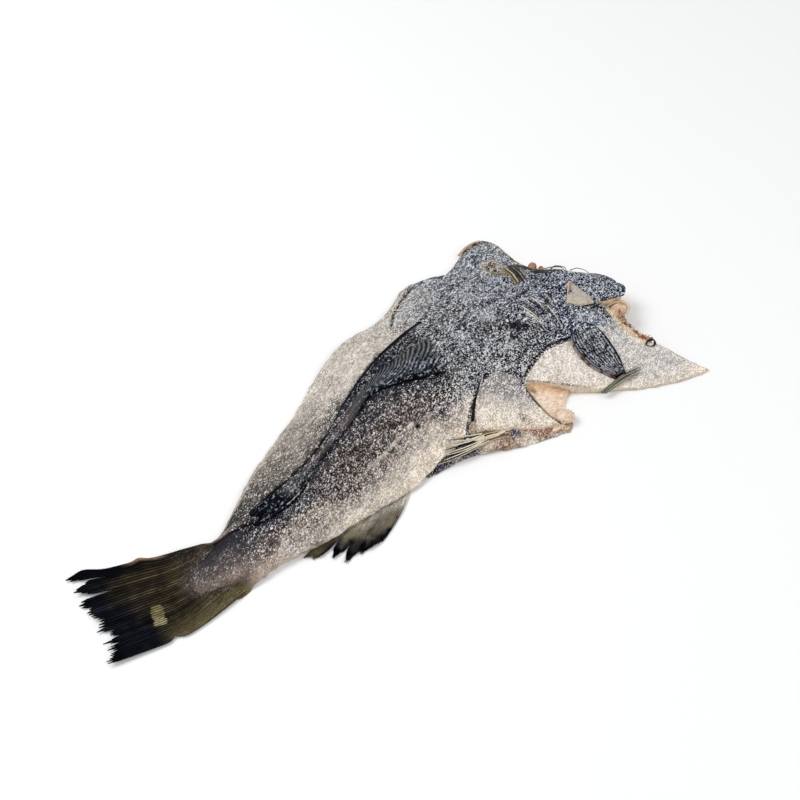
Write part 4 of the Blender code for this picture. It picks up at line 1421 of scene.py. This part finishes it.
FIRST_DORSAL_ROUTES = mm((
    ((208, 12, 0.6), (209.5, 0, 1.4), (210.5, -11, 1), (209, -22, 0.8)),
    ((206, 2, 0.5), (207.5, -6, 1.3), (208.5, -15, 0.8)),
    ((214, 17, 0.6), (214.5, 4, 1.2), (215, -10, 1.2), (214, -23, 0.8)),
    ((220, 14, 0.5), (220.5, 2, 1.2), (220, -12, 0.8)),
    ((224, 19, 0.4), (224, 8, 1), (223.5, -4, 0.6)),
    ((228, -4, 0.8), (227.5, -16, 1.3), (226, -29, 0.9)),
    ((225.5, -3, 0.6), (225, -14, 1.2), (223, -25, 0.8)),
    ((233, 13, 0.4), (232.5, 4, 1), (231.5, -6, 0.6)),
    ((238, 12, 0.4), (236.5, 4, 1), (233.5, -7, 0.6))))


def make_first_back_fin(sizes, look):
    """The stubs of the first back fin: short pale and dark rays lying slantwise over the nape."""
    sticks("first_back_fin_rays", FIRST_DORSAL_ROUTES, 0.0007,
        (look.straw_pale, look.straw_pale, look.fin_slate, look.black, look.straw_pale, look.straw_pale,
        look.fin_slate, look.black, look.straw), seed=31)


def fan_routes(starts, ends, count, seed, bow=0.0, lift=0.001):
    """Routes spread evenly from between two starts to between two ends, a little uneven."""
    draws = random.Random(seed)
    routes = []
    for k in range(count):
        t = k / (count - 1)
        start = Vector(starts[0]).lerp(Vector(starts[1]), t)
        end = Vector(ends[0]).lerp(Vector(ends[1]), t)
        short = draws.uniform(0.0, 0.16)
        end.xy = end.xy.lerp(start.xy, short)
        middle = (start + end) / 2 + Vector((draws.uniform(-0.001, 0.001),
            bow + draws.uniform(-0.0008, 0.0008), lift))
        routes.append((start, middle, end))
    return routes


FRONT_ANAL_MAIN = mm(((108, -88, -1.6), (93, -87, -0.4), (79, -83, 0.6), (69, -77, 1.4)))
FRONT_ANAL_HOOK = mm(((64, -63, 1), (60, -64, 1.8), (56, -61, 1.2)))


def make_front_anal_fin(sizes, look):
    """The folded front anal fin: a ribbed straw bundle of rays that spreads from a dark knot."""
    bundle = fan_routes(((0.111, -0.086, -0.003), (0.11, -0.093, -0.003)),
        ((0.079, -0.0765, -0.001), (0.076, -0.086, -0.0016)), 10, 37, 0.0, 0.0006)
    sticks("front_anal_fin_bundle", bundle, 0.0008,
        (look.fin_olive, look.stain, look.straw, look.fin_brown, look.stain, look.straw_pale,
        look.fin_brown), steps=14, seed=37, tip=0.8)
    spread = fan_routes(((0.086, -0.08, 0.0), (0.088, -0.089, -0.0006)),
        ((0.056, -0.067, 0.001), (0.029, -0.081, 0.0012)), 12, 38, -0.0015, 0.001)
    sticks("front_anal_fin_rays", spread + [FRONT_ANAL_HOOK], 0.0007,
        (look.straw_pale, look.fin_black, look.straw_pale, look.straw, look.straw_pale, look.fin_black,
        look.straw, look.straw_pale), steps=16, seed=39)
    sticks("front_anal_fin_main_ray", [FRONT_ANAL_MAIN], 0.0014, (look.cream,), steps=20, seed=40,
        tip=0.8)


def make_pelvic_fin(sizes, look):
    """The strands of the belly fin, meeting in a dark tip over the wing's lower edge."""
    strands = fan_routes(((0.218, -0.1035, 0.001), (0.2215, -0.1065, 0.0008)),
        ((0.279, -0.099, 0.001), (0.272, -0.108, 0.0008)), 6, 41, 0.0015, 0.0012)
    sticks("belly_fin_strands", strands, 0.001,
        (look.pelvic, look.fin_slate, look.pelvic, look.fin_grey, look.pelvic), 0.8, 22, 41, 0.3)


# Rims and hairs along the collar: the hooked rim over the far wing, the rim of its hollow and the
# strip along the nape's far edge.
COLLAR_RIMS = mm((
    ((221, 133.5, 0.5), (233, 138.5, 1), (246, 140, 1), (254, 137, 0.6)),
    ((247, 83, -4), (256, 68, -3), (259, 56, -3)),
    ((225, 83, -0.5), (229, 73, 0.2), (237, 66, -0.6), (248, 64, -2)),
    ((256, 56, -3), (268, 42, -5), (282, 30, -8), (296, 19, -10))))
COLLAR_HAIRS = mm((
    ((264, 52, -4), (274, 45, -2), (283, 40, -4), (286, 33, -9)),
    ((270, 44, -5), (278, 43, -1), (285, 36, -3), (283, 30, -8)),
    ((290, 33, -8), (296, 29, -5), (302, 23, -7), (305, 15, -11)),
    ((260, 54, -3), (272, 41, -4), (288, 28, -8), (302, 14, -11))))
FLANK_HAIRS = mm((
    ((119, 112, 0.4), (115, 108, 1), (112, 101, 0.6)),
    ((123, 112, 0.4), (117, 106, 1.2), (111, 106, 0.6)),
    ((114, 113, 0.2), (116, 106, 1), (120, 100, 0.4))))


def make_collar(sizes, look):
    """Rays of the far chest fin, cream rims and hairs that dried on to the far collar."""
    rays = fan_routes(((0.237, 0.08, -0.001), (0.248, 0.074, -0.002)),
        ((0.227, 0.044, 0.001), (0.239, 0.042, 0.0)), 8, 43, 0.0, 0.0026)
    sticks("far_chest_fin_rays", rays, 0.001,
        (look.olive, look.fin_black, look.straw, look.ink_and_shade, look.membrane, look.ink_and_shade), steps=12, seed=43,
        tip=0.7)
    sticks("collar_rims", COLLAR_RIMS, 0.0016, (look.tan, look.fin_grey, look.olive, look.fin_slate),
        0.75, 24, 47, 0.55)
    sticks("collar_hairs", COLLAR_HAIRS, 0.0006, (look.pelvic, look.fin_grey), steps=18, seed=53)
    sticks("flank_splinters", FLANK_HAIRS, 0.0006, (look.straw_pale, look.straw), steps=8, seed=59)


NAPE_FOLD = mm(((254.5, -4.5), (260, -1), (266.5, 6)))


def make_nape_triangle(sizes, look):
    """A torn three-cornered piece of pale skin with a yellow hollow, standing on the nape."""
    def place(points):
        u, v = crowded(points.u, 0.3), crowded(points.v, 0.3)
        x, y = patch(NAPE_TRIANGLE, u, v)
        z = (back_height(x, y) + 0.0022 + 0.0006 * rough(x, y, 0.006, 70)
            - 0.0022 * spot(x, y, (0.26, -0.003), 0.0055, 0.0035, 60))
        return x, y, z - 0.0035, z - 0.0006 * (1 - fullness(u, v, 0.12, 0.12))

    piece, points = sheets("nape_piece", 40, 40, place)
    x, y = points.x, points.y
    tint = shades(((0.0, look.triangle), (1.0, look.flap_grey)), 0.45 + 0.5 * rough(x, y, 0.008, 71))
    keep(piece, flesh_material(), layered(
        tint, (look.straw, 0.9 * ramp(0.42 - points.u) / 0.42 * past(points.v, 0.25, 0.2)),
        (look.stain, 0.8 * on_line(x, y, NAPE_FOLD, 0.0016)),
        (look.cream, 0.6 * ramp(1.3 - 1.3 * fullness(points.u, points.v, 0.15, 0.15)))), 0.25)


# Lumps of dried flesh: name, centre, half sizes, turn in degrees, and how deeply they are wrinkled.
LUMPS = (("nape_lump", (0.295, -0.038, 0.0205), (0.0125, 0.0085, 0.006), 20, 0.1),
    ("collar_lump", (0.265, 0.064, 0.019), (0.0052, 0.0046, 0.005), 35, 0.16),
    ("collar_bead", (0.271, 0.057, 0.019), (0.0032, 0.0026, 0.0028), 10, 0.18),
    ("belly_corner_lump", (0.17, -0.1055, 0.0062), (0.0078, 0.0095, 0.006), 55, 0.14))
LUMP_FOLDS = mm((
    ((285, -30), (295, -29), (305, -33), (307, -41), (300, -47)),
    ((285, -35), (293, -35), (299, -39), (298, -45))))


def make_lump(name, centre, half_sizes, turn, depth, look):
    """One wrinkled lump of dried flesh."""
    bm = bmesh.new()
    bmesh.ops.create_icosphere(bm, subdivisions=5, radius=1.0)
    for vert in bm.verts:
        c = vert.co
        folds = math.sin(7 * c.x + 4 * c.y + 3 * math.sin(3 * c.z)) * math.cos(5 * c.y - 2 * c.x)
        grooves = math.sin(19 * c.y + 6 * c.x + 4 * math.sin(3 * c.x))
        vert.co = c * (1 + depth * (0.7 * folds + 0.3 * grooves))
    bmesh.ops.scale(bm, verts=bm.verts, vec=half_sizes)
    bmesh.ops.rotate(bm, verts=bm.verts, matrix=Matrix.Rotation(math.radians(turn), 3, "Z"))
    bmesh.ops.translate(bm, verts=bm.verts, vec=centre)
    for vert in bm.verts:
        vert.co.z = max(0.0006, vert.co.z)
    piece = as_object(name, bm)
    x, y, z = places(piece)
    tint = shades(((0.0, look.stain), (0.35, look.tan), (1.0, look.peach)),
        0.6 + 0.6 * rough(x, y + 0.6 * z, 0.006, 72))
    if name == "nape_lump":
        bow = y - centre[1] + 60 * (x - centre[0] + 0.004) ** 2
        layers = np.abs(np.sin(math.pi * bow / 0.0042 + 1.5 * rough(x, y, 0.007, 79)))
        tint = cover(tint, look.cut_red_and_shadow, 0.75 * ramp(1 - 3.2 * layers))
    elif name.startswith("collar"):
        tint = cover(tint, look.cut_red_and_shadow, 0.6)
    else:
        tint = cover(tint, look.peach_pale, 0.5)
    keep(piece, flesh_material(), tint)


def make_lumps(sizes, look):
    """Wrinkled lumps of dried flesh at the nape, the far collar and the belly's corner."""
    for lump in LUMPS:
        make_lump(*lump, look)
    bm = bmesh.new()
    for k, fold in enumerate(LUMP_FOLDS):
        route = along(fold, np.linspace(0, 1, 22))
        tube(bm, [(x, y, 0.025 + 0.001 * k - 0.25 * abs(y + 0.03)) for x, y in route],
            lambda t: 0.0016 * (0.5 + 0.6 * math.sin(math.pi * t)), 8, 0.8)
    piece = closed_object("nape_folds", bm)
    x, y, z = places(piece)
    keep(piece, flesh_material(), shades(
        ((0.0, look.stain), (0.4, look.tan), (1.0, look.peach_pale)), 0.6 + 0.5 * rough(x, y, 0.005, 75)))


SHREDS = 150
RING_CENTRE = mm((298.5, -86.5))
RING_TURNS = 26


def make_cut_flesh(sizes, look):
    """Ragged red-brown flesh along the wing's cut edge."""
    draws = random.Random(61)
    bm = bmesh.new()
    for k in range(SHREDS):
        t = draws.random()
        x, y = along(CUT_EDGE, np.array([t]))[0]
        x, y = x + draws.uniform(-0.0022, 0.0012), y + draws.uniform(-0.0016, 0.0016)
        made = bmesh.ops.create_icosphere(bm, subdivisions=2,
            radius=draws.uniform(0.0005, 0.0013))["verts"]
        for vert in made:
            vert.co *= 1 + 0.35 * math.sin(4000 * vert.co.x + k) * math.cos(3000 * vert.co.y + 2 * k)
        bmesh.ops.scale(bm, verts=made, vec=(draws.uniform(0.9, 3.2), draws.uniform(0.4, 1.0), 0.6))
        bmesh.ops.rotate(bm, verts=made, matrix=Matrix.Rotation(draws.uniform(-0.6, 1.4), 3, "Z"))
        bmesh.ops.translate(bm, verts=made,
            vec=(x, y, over_back(x, y) - draws.uniform(0.0004, 0.004) * (1.2 - t)))
    piece = as_object("cut_edge_flesh", bm)
    x, y, z = places(piece)
    keep(piece, flesh_material(), shades(
        ((0.0, look.black), (0.12, look.cut_red_and_shadow), (0.45, look.cut_red_and_shadow), (0.6, look.tan),
            (1.0, look.cream)),
        0.56 + 0.9 * rough(x, y, 0.004, 73)))


def make_dark_ring(sizes, look):
    """The small dark ring at the end of the wing's cut edge."""
    bm = bmesh.new()
    ring = []
    for k in range(RING_TURNS + 1):
        angle = 2 * math.pi * k / RING_TURNS
        across = 0.0036 * math.sin(angle)
        lengthwise = 0.0056 * math.cos(angle) * (1 + 0.16 * math.sin(3 * angle))
        x = RING_CENTRE[0] + lengthwise * 0.9 - across * 0.4
        y = RING_CENTRE[1] + across * 0.9 + lengthwise * 0.1
        ring.append((x, y, over_back(x, y) + 0.0004))
    tube(bm, ring, lambda t: 0.0008 + 0.0004 * math.sin(9 * t), 8, 0.7)
    piece = closed_object("dark_ring", bm)
    x, y, z = places(piece)
    keep(piece, flesh_material(),
        shades(((0.0, look.ink_and_shade), (1.0, look.fin_slate)), 0.3 + 0.6 * rough(x, y, 0.004, 74)))


# ----- Salt -----

def make_salt(sizes, look):
    """Loose grains of salt on the skin, thickest towards the shoulders."""
    bm = bmesh.new()
    bmesh.ops.create_cube(bm, size=1.0)
    for doubling in range(sizes.salt_doublings):
        bmesh.ops.duplicate(bm, geom=bm.verts[:] + bm.edges[:] + bm.faces[:])
    piece = as_object("salt_grains", bm)
    count = 2 ** sizes.salt_doublings
    draws = np.random.default_rng(71)
    u = 0.06 + 0.92 * draws.random(count) ** 0.8
    side = draws.uniform(-0.97, 0.97, count)
    x, y = body_plan(u, side)
    z = body_surface(x, y, u, 0.5 + side / 2)
    size = sizes.salt_size * draws.uniform(0.45, 1.0, count) ** 2
    axes = np.linalg.qr(draws.normal(size=(count, 3, 3)))[0]
    corners = np.zeros(8 * 3 * count)
    piece.data.vertices.foreach_get("co", corners)
    corners = np.einsum("gij,gcj->gci", axes, corners.reshape(count, 8, 3)) * size[:, None, None]
    corners += np.stack((x, y, z + 0.2 * size), 1)[:, None, :]
    piece.data.vertices.foreach_set("co", corners.ravel())
    piece.data.update()
    keep(piece, grain_material())


# ----- Stage -----

def aim(thing, target):
    """Turns a lamp or camera towards a place."""
    thing.rotation_euler = (Vector(target) - thing.location).to_track_quat("-Z", "Y").to_euler()


TARGET = (0.054, 0.011, 0.0)


def make_stage(stage):
    """A pale floor, soft light from the far left and above, and the camera."""
    scene = bpy.context.scene
    bm = bmesh.new()
    bmesh.ops.create_grid(bm, x_segments=1, y_segments=1, size=stage.floor_size / 2)
    floor = as_object("floor", bm)
    material, tree, shader = new_material("pale floor")
    shader["Base Color"].default_value = (0.92, 0.92, 0.92, 1.0)
    shader["Roughness"].default_value = 0.9
    shader["Specular IOR Level"].default_value = 0.1
    floor.data.materials.append(material)

    scene.world = bpy.data.worlds.new("soft room")
    scene.world.use_nodes = True
    room = scene.world.node_tree.nodes["Background"].inputs
    room["Color"].default_value = (0.98, 0.99, 1.0, 1.0)
    room["Strength"].default_value = stage.room_light
    scene.view_settings.view_transform = "Standard"

    for name, place, size, power in (("key light", (-0.9, 1.0, 1.9), 1.1, stage.key_light),
            ("fill light", (0.6, -1.6, 1.8), 1.8, stage.fill_light)):
        lamp = bpy.data.lights.new(name, "AREA")
        lamp.size = size
        lamp.energy = power
        light = bpy.data.objects.new(name, lamp)
        light.location = place
        aim(light, (0, 0, 0))
        scene.collection.objects.link(light)

    lens = bpy.data.cameras.new("camera")
    lens.lens = stage.lens
    camera = bpy.data.objects.new("camera", lens)
    azimuth, elevation = stage.azimuth, stage.elevation
    away = Vector((math.sin(azimuth) * math.cos(elevation), -math.cos(azimuth) * math.cos(elevation),
        math.sin(elevation)))
    camera.location = Vector(TARGET) + stage.distance * away
    aim(camera, TARGET)
    scene.collection.objects.link(camera)
    scene.camera = camera


# ----- Settings -----

def swatch(name, description, red, green, blue):
    """A display colour setting, given as values up to 255."""
    return FloatVectorProperty(name=name, description=description, subtype="COLOR_GAMMA", size=3, min=0.0,
        max=1.0, default=(red / 255, green / 255, blue / 255))


class CodSizes(bpy.types.PropertyGroup):
    """How finely the pieces are made, and how many of each there are."""
    body_columns: IntProperty(name="Body columns", description="Faces along the body's skin", default=330,
        min=20)
    body_rows: IntProperty(name="Body rows", description="Faces across the body's skin", default=110,
        min=10)
    skin_thickness: FloatProperty(name="Skin thickness", description="Thickness of the dried skin",
        default=0.001, unit="LENGTH")
    tail_rays: IntProperty(name="Tail rays", description="Rays of the tail fin", default=38, min=8)
    anal_rays: IntProperty(name="Anal fin rays", description="Rays of the rear anal fin", default=36,
        min=6)
    dorsal_rays: IntProperty(name="Back fin rays", description="Rays of the second back fin", default=27,
        min=6)
    pectoral_rays: IntProperty(name="Chest fin rays", description="Rays of the near chest fin",
        default=11, min=4)
    salt_doublings: IntProperty(name="Salt doublings", description="Doublings of one salt grain",
        default=12, min=0)
    salt_size: FloatProperty(name="Salt size", description="Edge of the largest salt grain",
        default=0.0008, unit="LENGTH")


class CodFinish(bpy.types.PropertyGroup):
    """Colours and relief of skin, fins and flesh."""
    fleck_scale: FloatProperty(name="Fleck scale", description="Fineness of the salt flecks",
        default=780.0)
    skin_relief: FloatProperty(name="Skin relief", description="Depth of the pebbled skin",
        default=0.0007, unit="LENGTH")
    browning: FloatProperty(name="Browning", description="How brown the flesh has dried", default=0.3,
        min=0.0, max=1.0, subtype="FACTOR")
    # Salt flecks, also the colour of the painted highlight line on the third back fin.
    salt: swatch("Salt", "Flecks of salt and scale", 232, 230, 226)
    back: swatch("Back", "Dark skin of the back", 54, 51, 56)
    flank_brown: swatch("Upper flank", "Brownish skin of the near flank", 82, 69, 64)
    flank_grey: swatch("Flank", "Skin of the near flank", 124, 112, 106)
    flank_pale: swatch("Lower flank", "Pale skin low on the near flank", 176, 165, 154)
    cream: swatch("Edge", "Cream edge of skin and flesh", 218, 204, 186)
    stalk_dark: swatch("Stalk back", "Dark upper side of the tail stalk", 44, 43, 49)
    stalk_top: swatch("Stalk top", "Upper skin of the tail stalk", 58, 54, 56)
    stalk_brown: swatch("Stalk brown", "Red-brown root of the tail rays", 46, 36, 30)
    stalk: swatch("Stalk", "Skin of the tail stalk", 86, 77, 75)
    stalk_tan: swatch("Stalk edge", "Tan lower edge of the tail stalk", 160, 143, 131)
    shoulder: swatch("Shoulder", "Blue-grey skin of the shoulders", 99, 100, 106)
    shoulder_dark: swatch("Shoulder dark", "Darker shoulder skin", 48, 49, 58)
    shoulder_pale: swatch("Shoulder pale", "Paler shoulder skin", 152, 152, 153)
    nape: swatch("Nape", "Dark blue-grey nape", 52, 61, 84)
    # Blackest skin, also the painted shade in the corner at the top of the belly crack and the far wing's
    # rim shade.
    black: swatch("Black skin", "Blackest skin and deep cracks", 20, 23, 34)
    # Blackest fin membrane, also the painted shade in cracks, creases, slits and gaps.
    ink_and_shade: swatch("Fin black", "Blackest fin membrane", 3, 5, 11)
    far_grey: swatch("Far flank grey", "Far flank beside the last back fin", 103, 96, 90)
    far_beige: swatch("Far flank beige", "Middle of the far flank", 130, 122, 113)
    far_pale: swatch("Far flank pale", "Palest far flank", 186, 177, 166)
    far_cool: swatch("Far shoulder", "Cool grey far shoulder", 148, 148, 146)
    far_rim: swatch("Far rim", "Greenish cream rim of the far flank", 188, 180, 166)
    flap: swatch("Belly flap", "Cream skin of the belly flap", 226, 214, 199)
    flap_low: swatch("Flap edge", "Cream lower edge of the torn flaps", 238, 222, 202)
    flap_grey: swatch("Flap grey", "Grey upper part of the belly flap", 172, 165, 161)
    flap_pink: swatch("Wing root", "Pinkish cream root of the shoulder wing", 232, 221, 209)
    wing: swatch("Wing", "Skin of the shoulder wing", 210, 205, 199)
    wing_shade: swatch("Wing shade", "Purple-grey shade on the wing", 176, 172, 174)
    stain: swatch("Stain", "Brown dried stains", 130, 98, 70)
    tan: swatch("Tan", "Tan dried flesh", 190, 160, 126)
    peach: swatch("Lining", "Peach belly lining", 243, 214, 185)
    peach_pale: swatch("Lining pale", "Palest belly lining", 242, 222, 200)
    # Deep peach of the lining, also the painted shadow under the shoulder wing's lower edge.
    peach_deep_and_shadow: swatch("Lining deep", "Deep peach folds of the lining", 222, 176, 132)
    # Red-brown cut flesh, also part of the painted shadow under the shoulder wing's lower edge.
    cut_red_and_shadow: swatch("Cut flesh", "Red-brown cut flesh", 150, 92, 74)
    flesh: swatch("Flesh", "Dried flesh", 222, 198, 160)
    flesh_pale: swatch("Flesh pale", "Palest dried flesh", 234, 218, 190)
    flesh_peach: swatch("Flesh peach", "Peach dried flesh", 214, 180, 140)
    flesh_brown: swatch("Blood line", "Brown line along the back on the flesh side", 132, 86, 58)
    straw: swatch("Straw", "Straw-coloured rays", 190, 176, 140)
    straw_pale: swatch("Straw pale", "Palest straw rays", 226, 218, 194)
    olive: swatch("Olive", "Olive dried rim", 136, 128, 92)
    membrane: swatch("Membrane", "Dark blue-grey torn membrane", 52, 54, 70)
    fin_brown: swatch("Tail brown", "Brown root of the tail fin", 28, 25, 22)
    fin_olive: swatch("Tail olive", "Olive lower edge of the tail fin", 102, 91, 63)
    fin_dark: swatch("Tail dark", "Dark middle of the tail fin", 11, 10, 9)
    fin_black: swatch("Tail black", "Black end of the tail fin", 4, 6, 13)
    fin_ray: swatch("Tail ray", "Lighter tail rays", 120, 106, 74)
    bare_fin: swatch("Bare patch", "Bare yellow-green patch of the tail fin", 142, 136, 94)
    fin_grey: swatch("Anal fin", "Grey-brown anal fin", 66, 63, 60)
    anal_pale: swatch("Anal fin pale", "Pale root of the anal fin", 132, 124, 106)
    fin_slate: swatch("Fin slate", "Slate grey of the back fins", 40, 44, 54)
    fin_blue: swatch("Fin blue", "Blue-grey rays of the third back fin", 44, 50, 66)
    fin_moss: swatch("Fin moss", "Smooth grey-olive middle of the second back fin", 74, 74, 70)
    # Pale streaks along fin rays, also the painted highlights on the near chest fin's rays.
    pale_ray_and_highlight: swatch("Pale ray", "Pale streaks along fin rays", 168, 176, 190)
    pelvic: swatch("Belly fin", "Greenish grey strands of the belly fin", 136, 136, 118)
    triangle: swatch("Nape piece", "Pale torn piece on the nape", 196, 186, 166)


class CodStage(bpy.types.PropertyGroup):
    """Floor, light and camera."""
    floor_size: FloatProperty(name="Floor size", description="Side of the floor", default=8.0,
        unit="LENGTH")
    room_light: FloatProperty(name="Room light", description="Strength of the light all round",
        default=0.62)
    key_light: FloatProperty(name="Key light", description="Power of the light from the far left",
        default=26.0, unit="POWER")
    fill_light: FloatProperty(name="Fill light", description="Power of the light from the front",
        default=14.0, unit="POWER")
    azimuth: FloatProperty(name="Azimuth", description="Turn of the camera round the fish",
        default=math.radians(-36), subtype="ANGLE")
    elevation: FloatProperty(name="Elevation", description="Height of the camera over the floor",
        default=math.radians(50), subtype="ANGLE")
    distance: FloatProperty(name="Distance", description="Distance of the camera", default=1.55,
        unit="LENGTH")
    lens: FloatProperty(name="Lens", description="Focal length in millimetres", default=70.0)


# ----- Operators -----

def build(context, *makers):
    """Calls each maker with the scene's sizes and colours."""
    for make in makers:
        make(context.scene.cod_sizes, context.scene.cod_finish)
    return {"FINISHED"}


class COD_OT_body(bpy.types.Operator):
    """Builds the body's skin and the flesh under it"""
    bl_idname = "cod.body"
    bl_label = "Body"

    def execute(self, context):
        return build(context, make_body)


class COD_OT_belly(bpy.types.Operator):
    """Builds the torn belly flap, the lining of the open cut and the belly's rim"""
    bl_idname = "cod.belly"
    bl_label = "Belly"

    def execute(self, context):
        return build(context, make_belly_flap, make_belly_lining, make_belly_rim)


class COD_OT_wings(bpy.types.Operator):
    """Builds the pointed near shoulder wing and the blunt far one"""
    bl_idname = "cod.wings"
    bl_label = "Shoulder wings"

    def execute(self, context):
        return build(context, make_shoulder_wing, make_far_wing)


class COD_OT_tail_fin(bpy.types.Operator):
    """Builds the ragged tail fin, ray by ray"""
    bl_idname = "cod.tail_fin"
    bl_label = "Tail fin"

    def execute(self, context):
        return build(context, make_tail_fin)


class COD_OT_anal_fins(bpy.types.Operator):
    """Builds the rear anal fin and the straw rays of the folded front one"""
    bl_idname = "cod.anal_fins"
    bl_label = "Anal fins"

    def execute(self, context):
        return build(context, make_rear_anal_fin, make_front_anal_fin)


class COD_OT_back_fins(bpy.types.Operator):
    """Builds the folded second and third back fins and the stubs of the first"""
    bl_idname = "cod.back_fins"
    bl_label = "Back fins"

    def execute(self, context):
        return build(context, make_second_back_fin, make_third_back_fin, make_first_back_fin)


class COD_OT_chest_fins(bpy.types.Operator):
    """Builds the near chest fin, the belly fin and the shrivelled far chest fin"""
    bl_idname = "cod.chest_fins"
    bl_label = "Chest and belly fins"

    def execute(self, context):
        return build(context, make_near_pectoral, make_pelvic_fin, make_collar)


class COD_OT_scraps(bpy.types.Operator):
    """Builds the torn piece on the nape, the lumps of flesh and the wing's cut edge"""
    bl_idname = "cod.scraps"
    bl_label = "Torn scraps and lumps"

    def execute(self, context):
        return build(context, make_nape_triangle, make_lumps, make_cut_flesh, make_dark_ring)


class COD_OT_salt(bpy.types.Operator):
    """Strews loose grains of salt over the skin"""
    bl_idname = "cod.salt"
    bl_label = "Salt"

    def execute(self, context):
        return build(context, make_salt)


class COD_OT_stage(bpy.types.Operator):
    """Sets the pale floor, the soft light and the camera"""
    bl_idname = "cod.stage"
    bl_label = "Stage"

    def execute(self, context):
        make_stage(context.scene.cod_stage)
        return {"FINISHED"}


PIECES = (COD_OT_body, COD_OT_belly, COD_OT_wings, COD_OT_tail_fin, COD_OT_anal_fins, COD_OT_back_fins,
    COD_OT_chest_fins, COD_OT_scraps, COD_OT_salt, COD_OT_stage)


class COD_PT_panel(bpy.types.Panel):
    """Lists the pieces of the fish"""
    bl_idname = "COD_PT_panel"
    bl_label = "Dried Cod"
    bl_space_type = "VIEW_3D"
    bl_region_type = "UI"
    bl_category = "Dried Cod"

    def draw(self, context):
        for piece in PIECES:
            self.layout.operator(piece.bl_idname)


CLASSES = (CodSizes, CodFinish, CodStage, *PIECES, COD_PT_panel)


def register():
    for each in CLASSES:
        bpy.utils.register_class(each)
    bpy.types.Scene.cod_sizes = PointerProperty(type=CodSizes)
    bpy.types.Scene.cod_finish = PointerProperty(type=CodFinish)
    bpy.types.Scene.cod_stage = PointerProperty(type=CodStage)


def unregister():
    del bpy.types.Scene.cod_stage
    del bpy.types.Scene.cod_finish
    del bpy.types.Scene.cod_sizes
    for each in reversed(CLASSES):
        bpy.utils.unregister_class(each)


def main():
    register()
    for piece in PIECES:
        group, name = piece.bl_idname.split(".")
        getattr(getattr(bpy.ops, group), name)()
    bpy.context.view_layer.update()


if __name__ == "__main__":
    main()
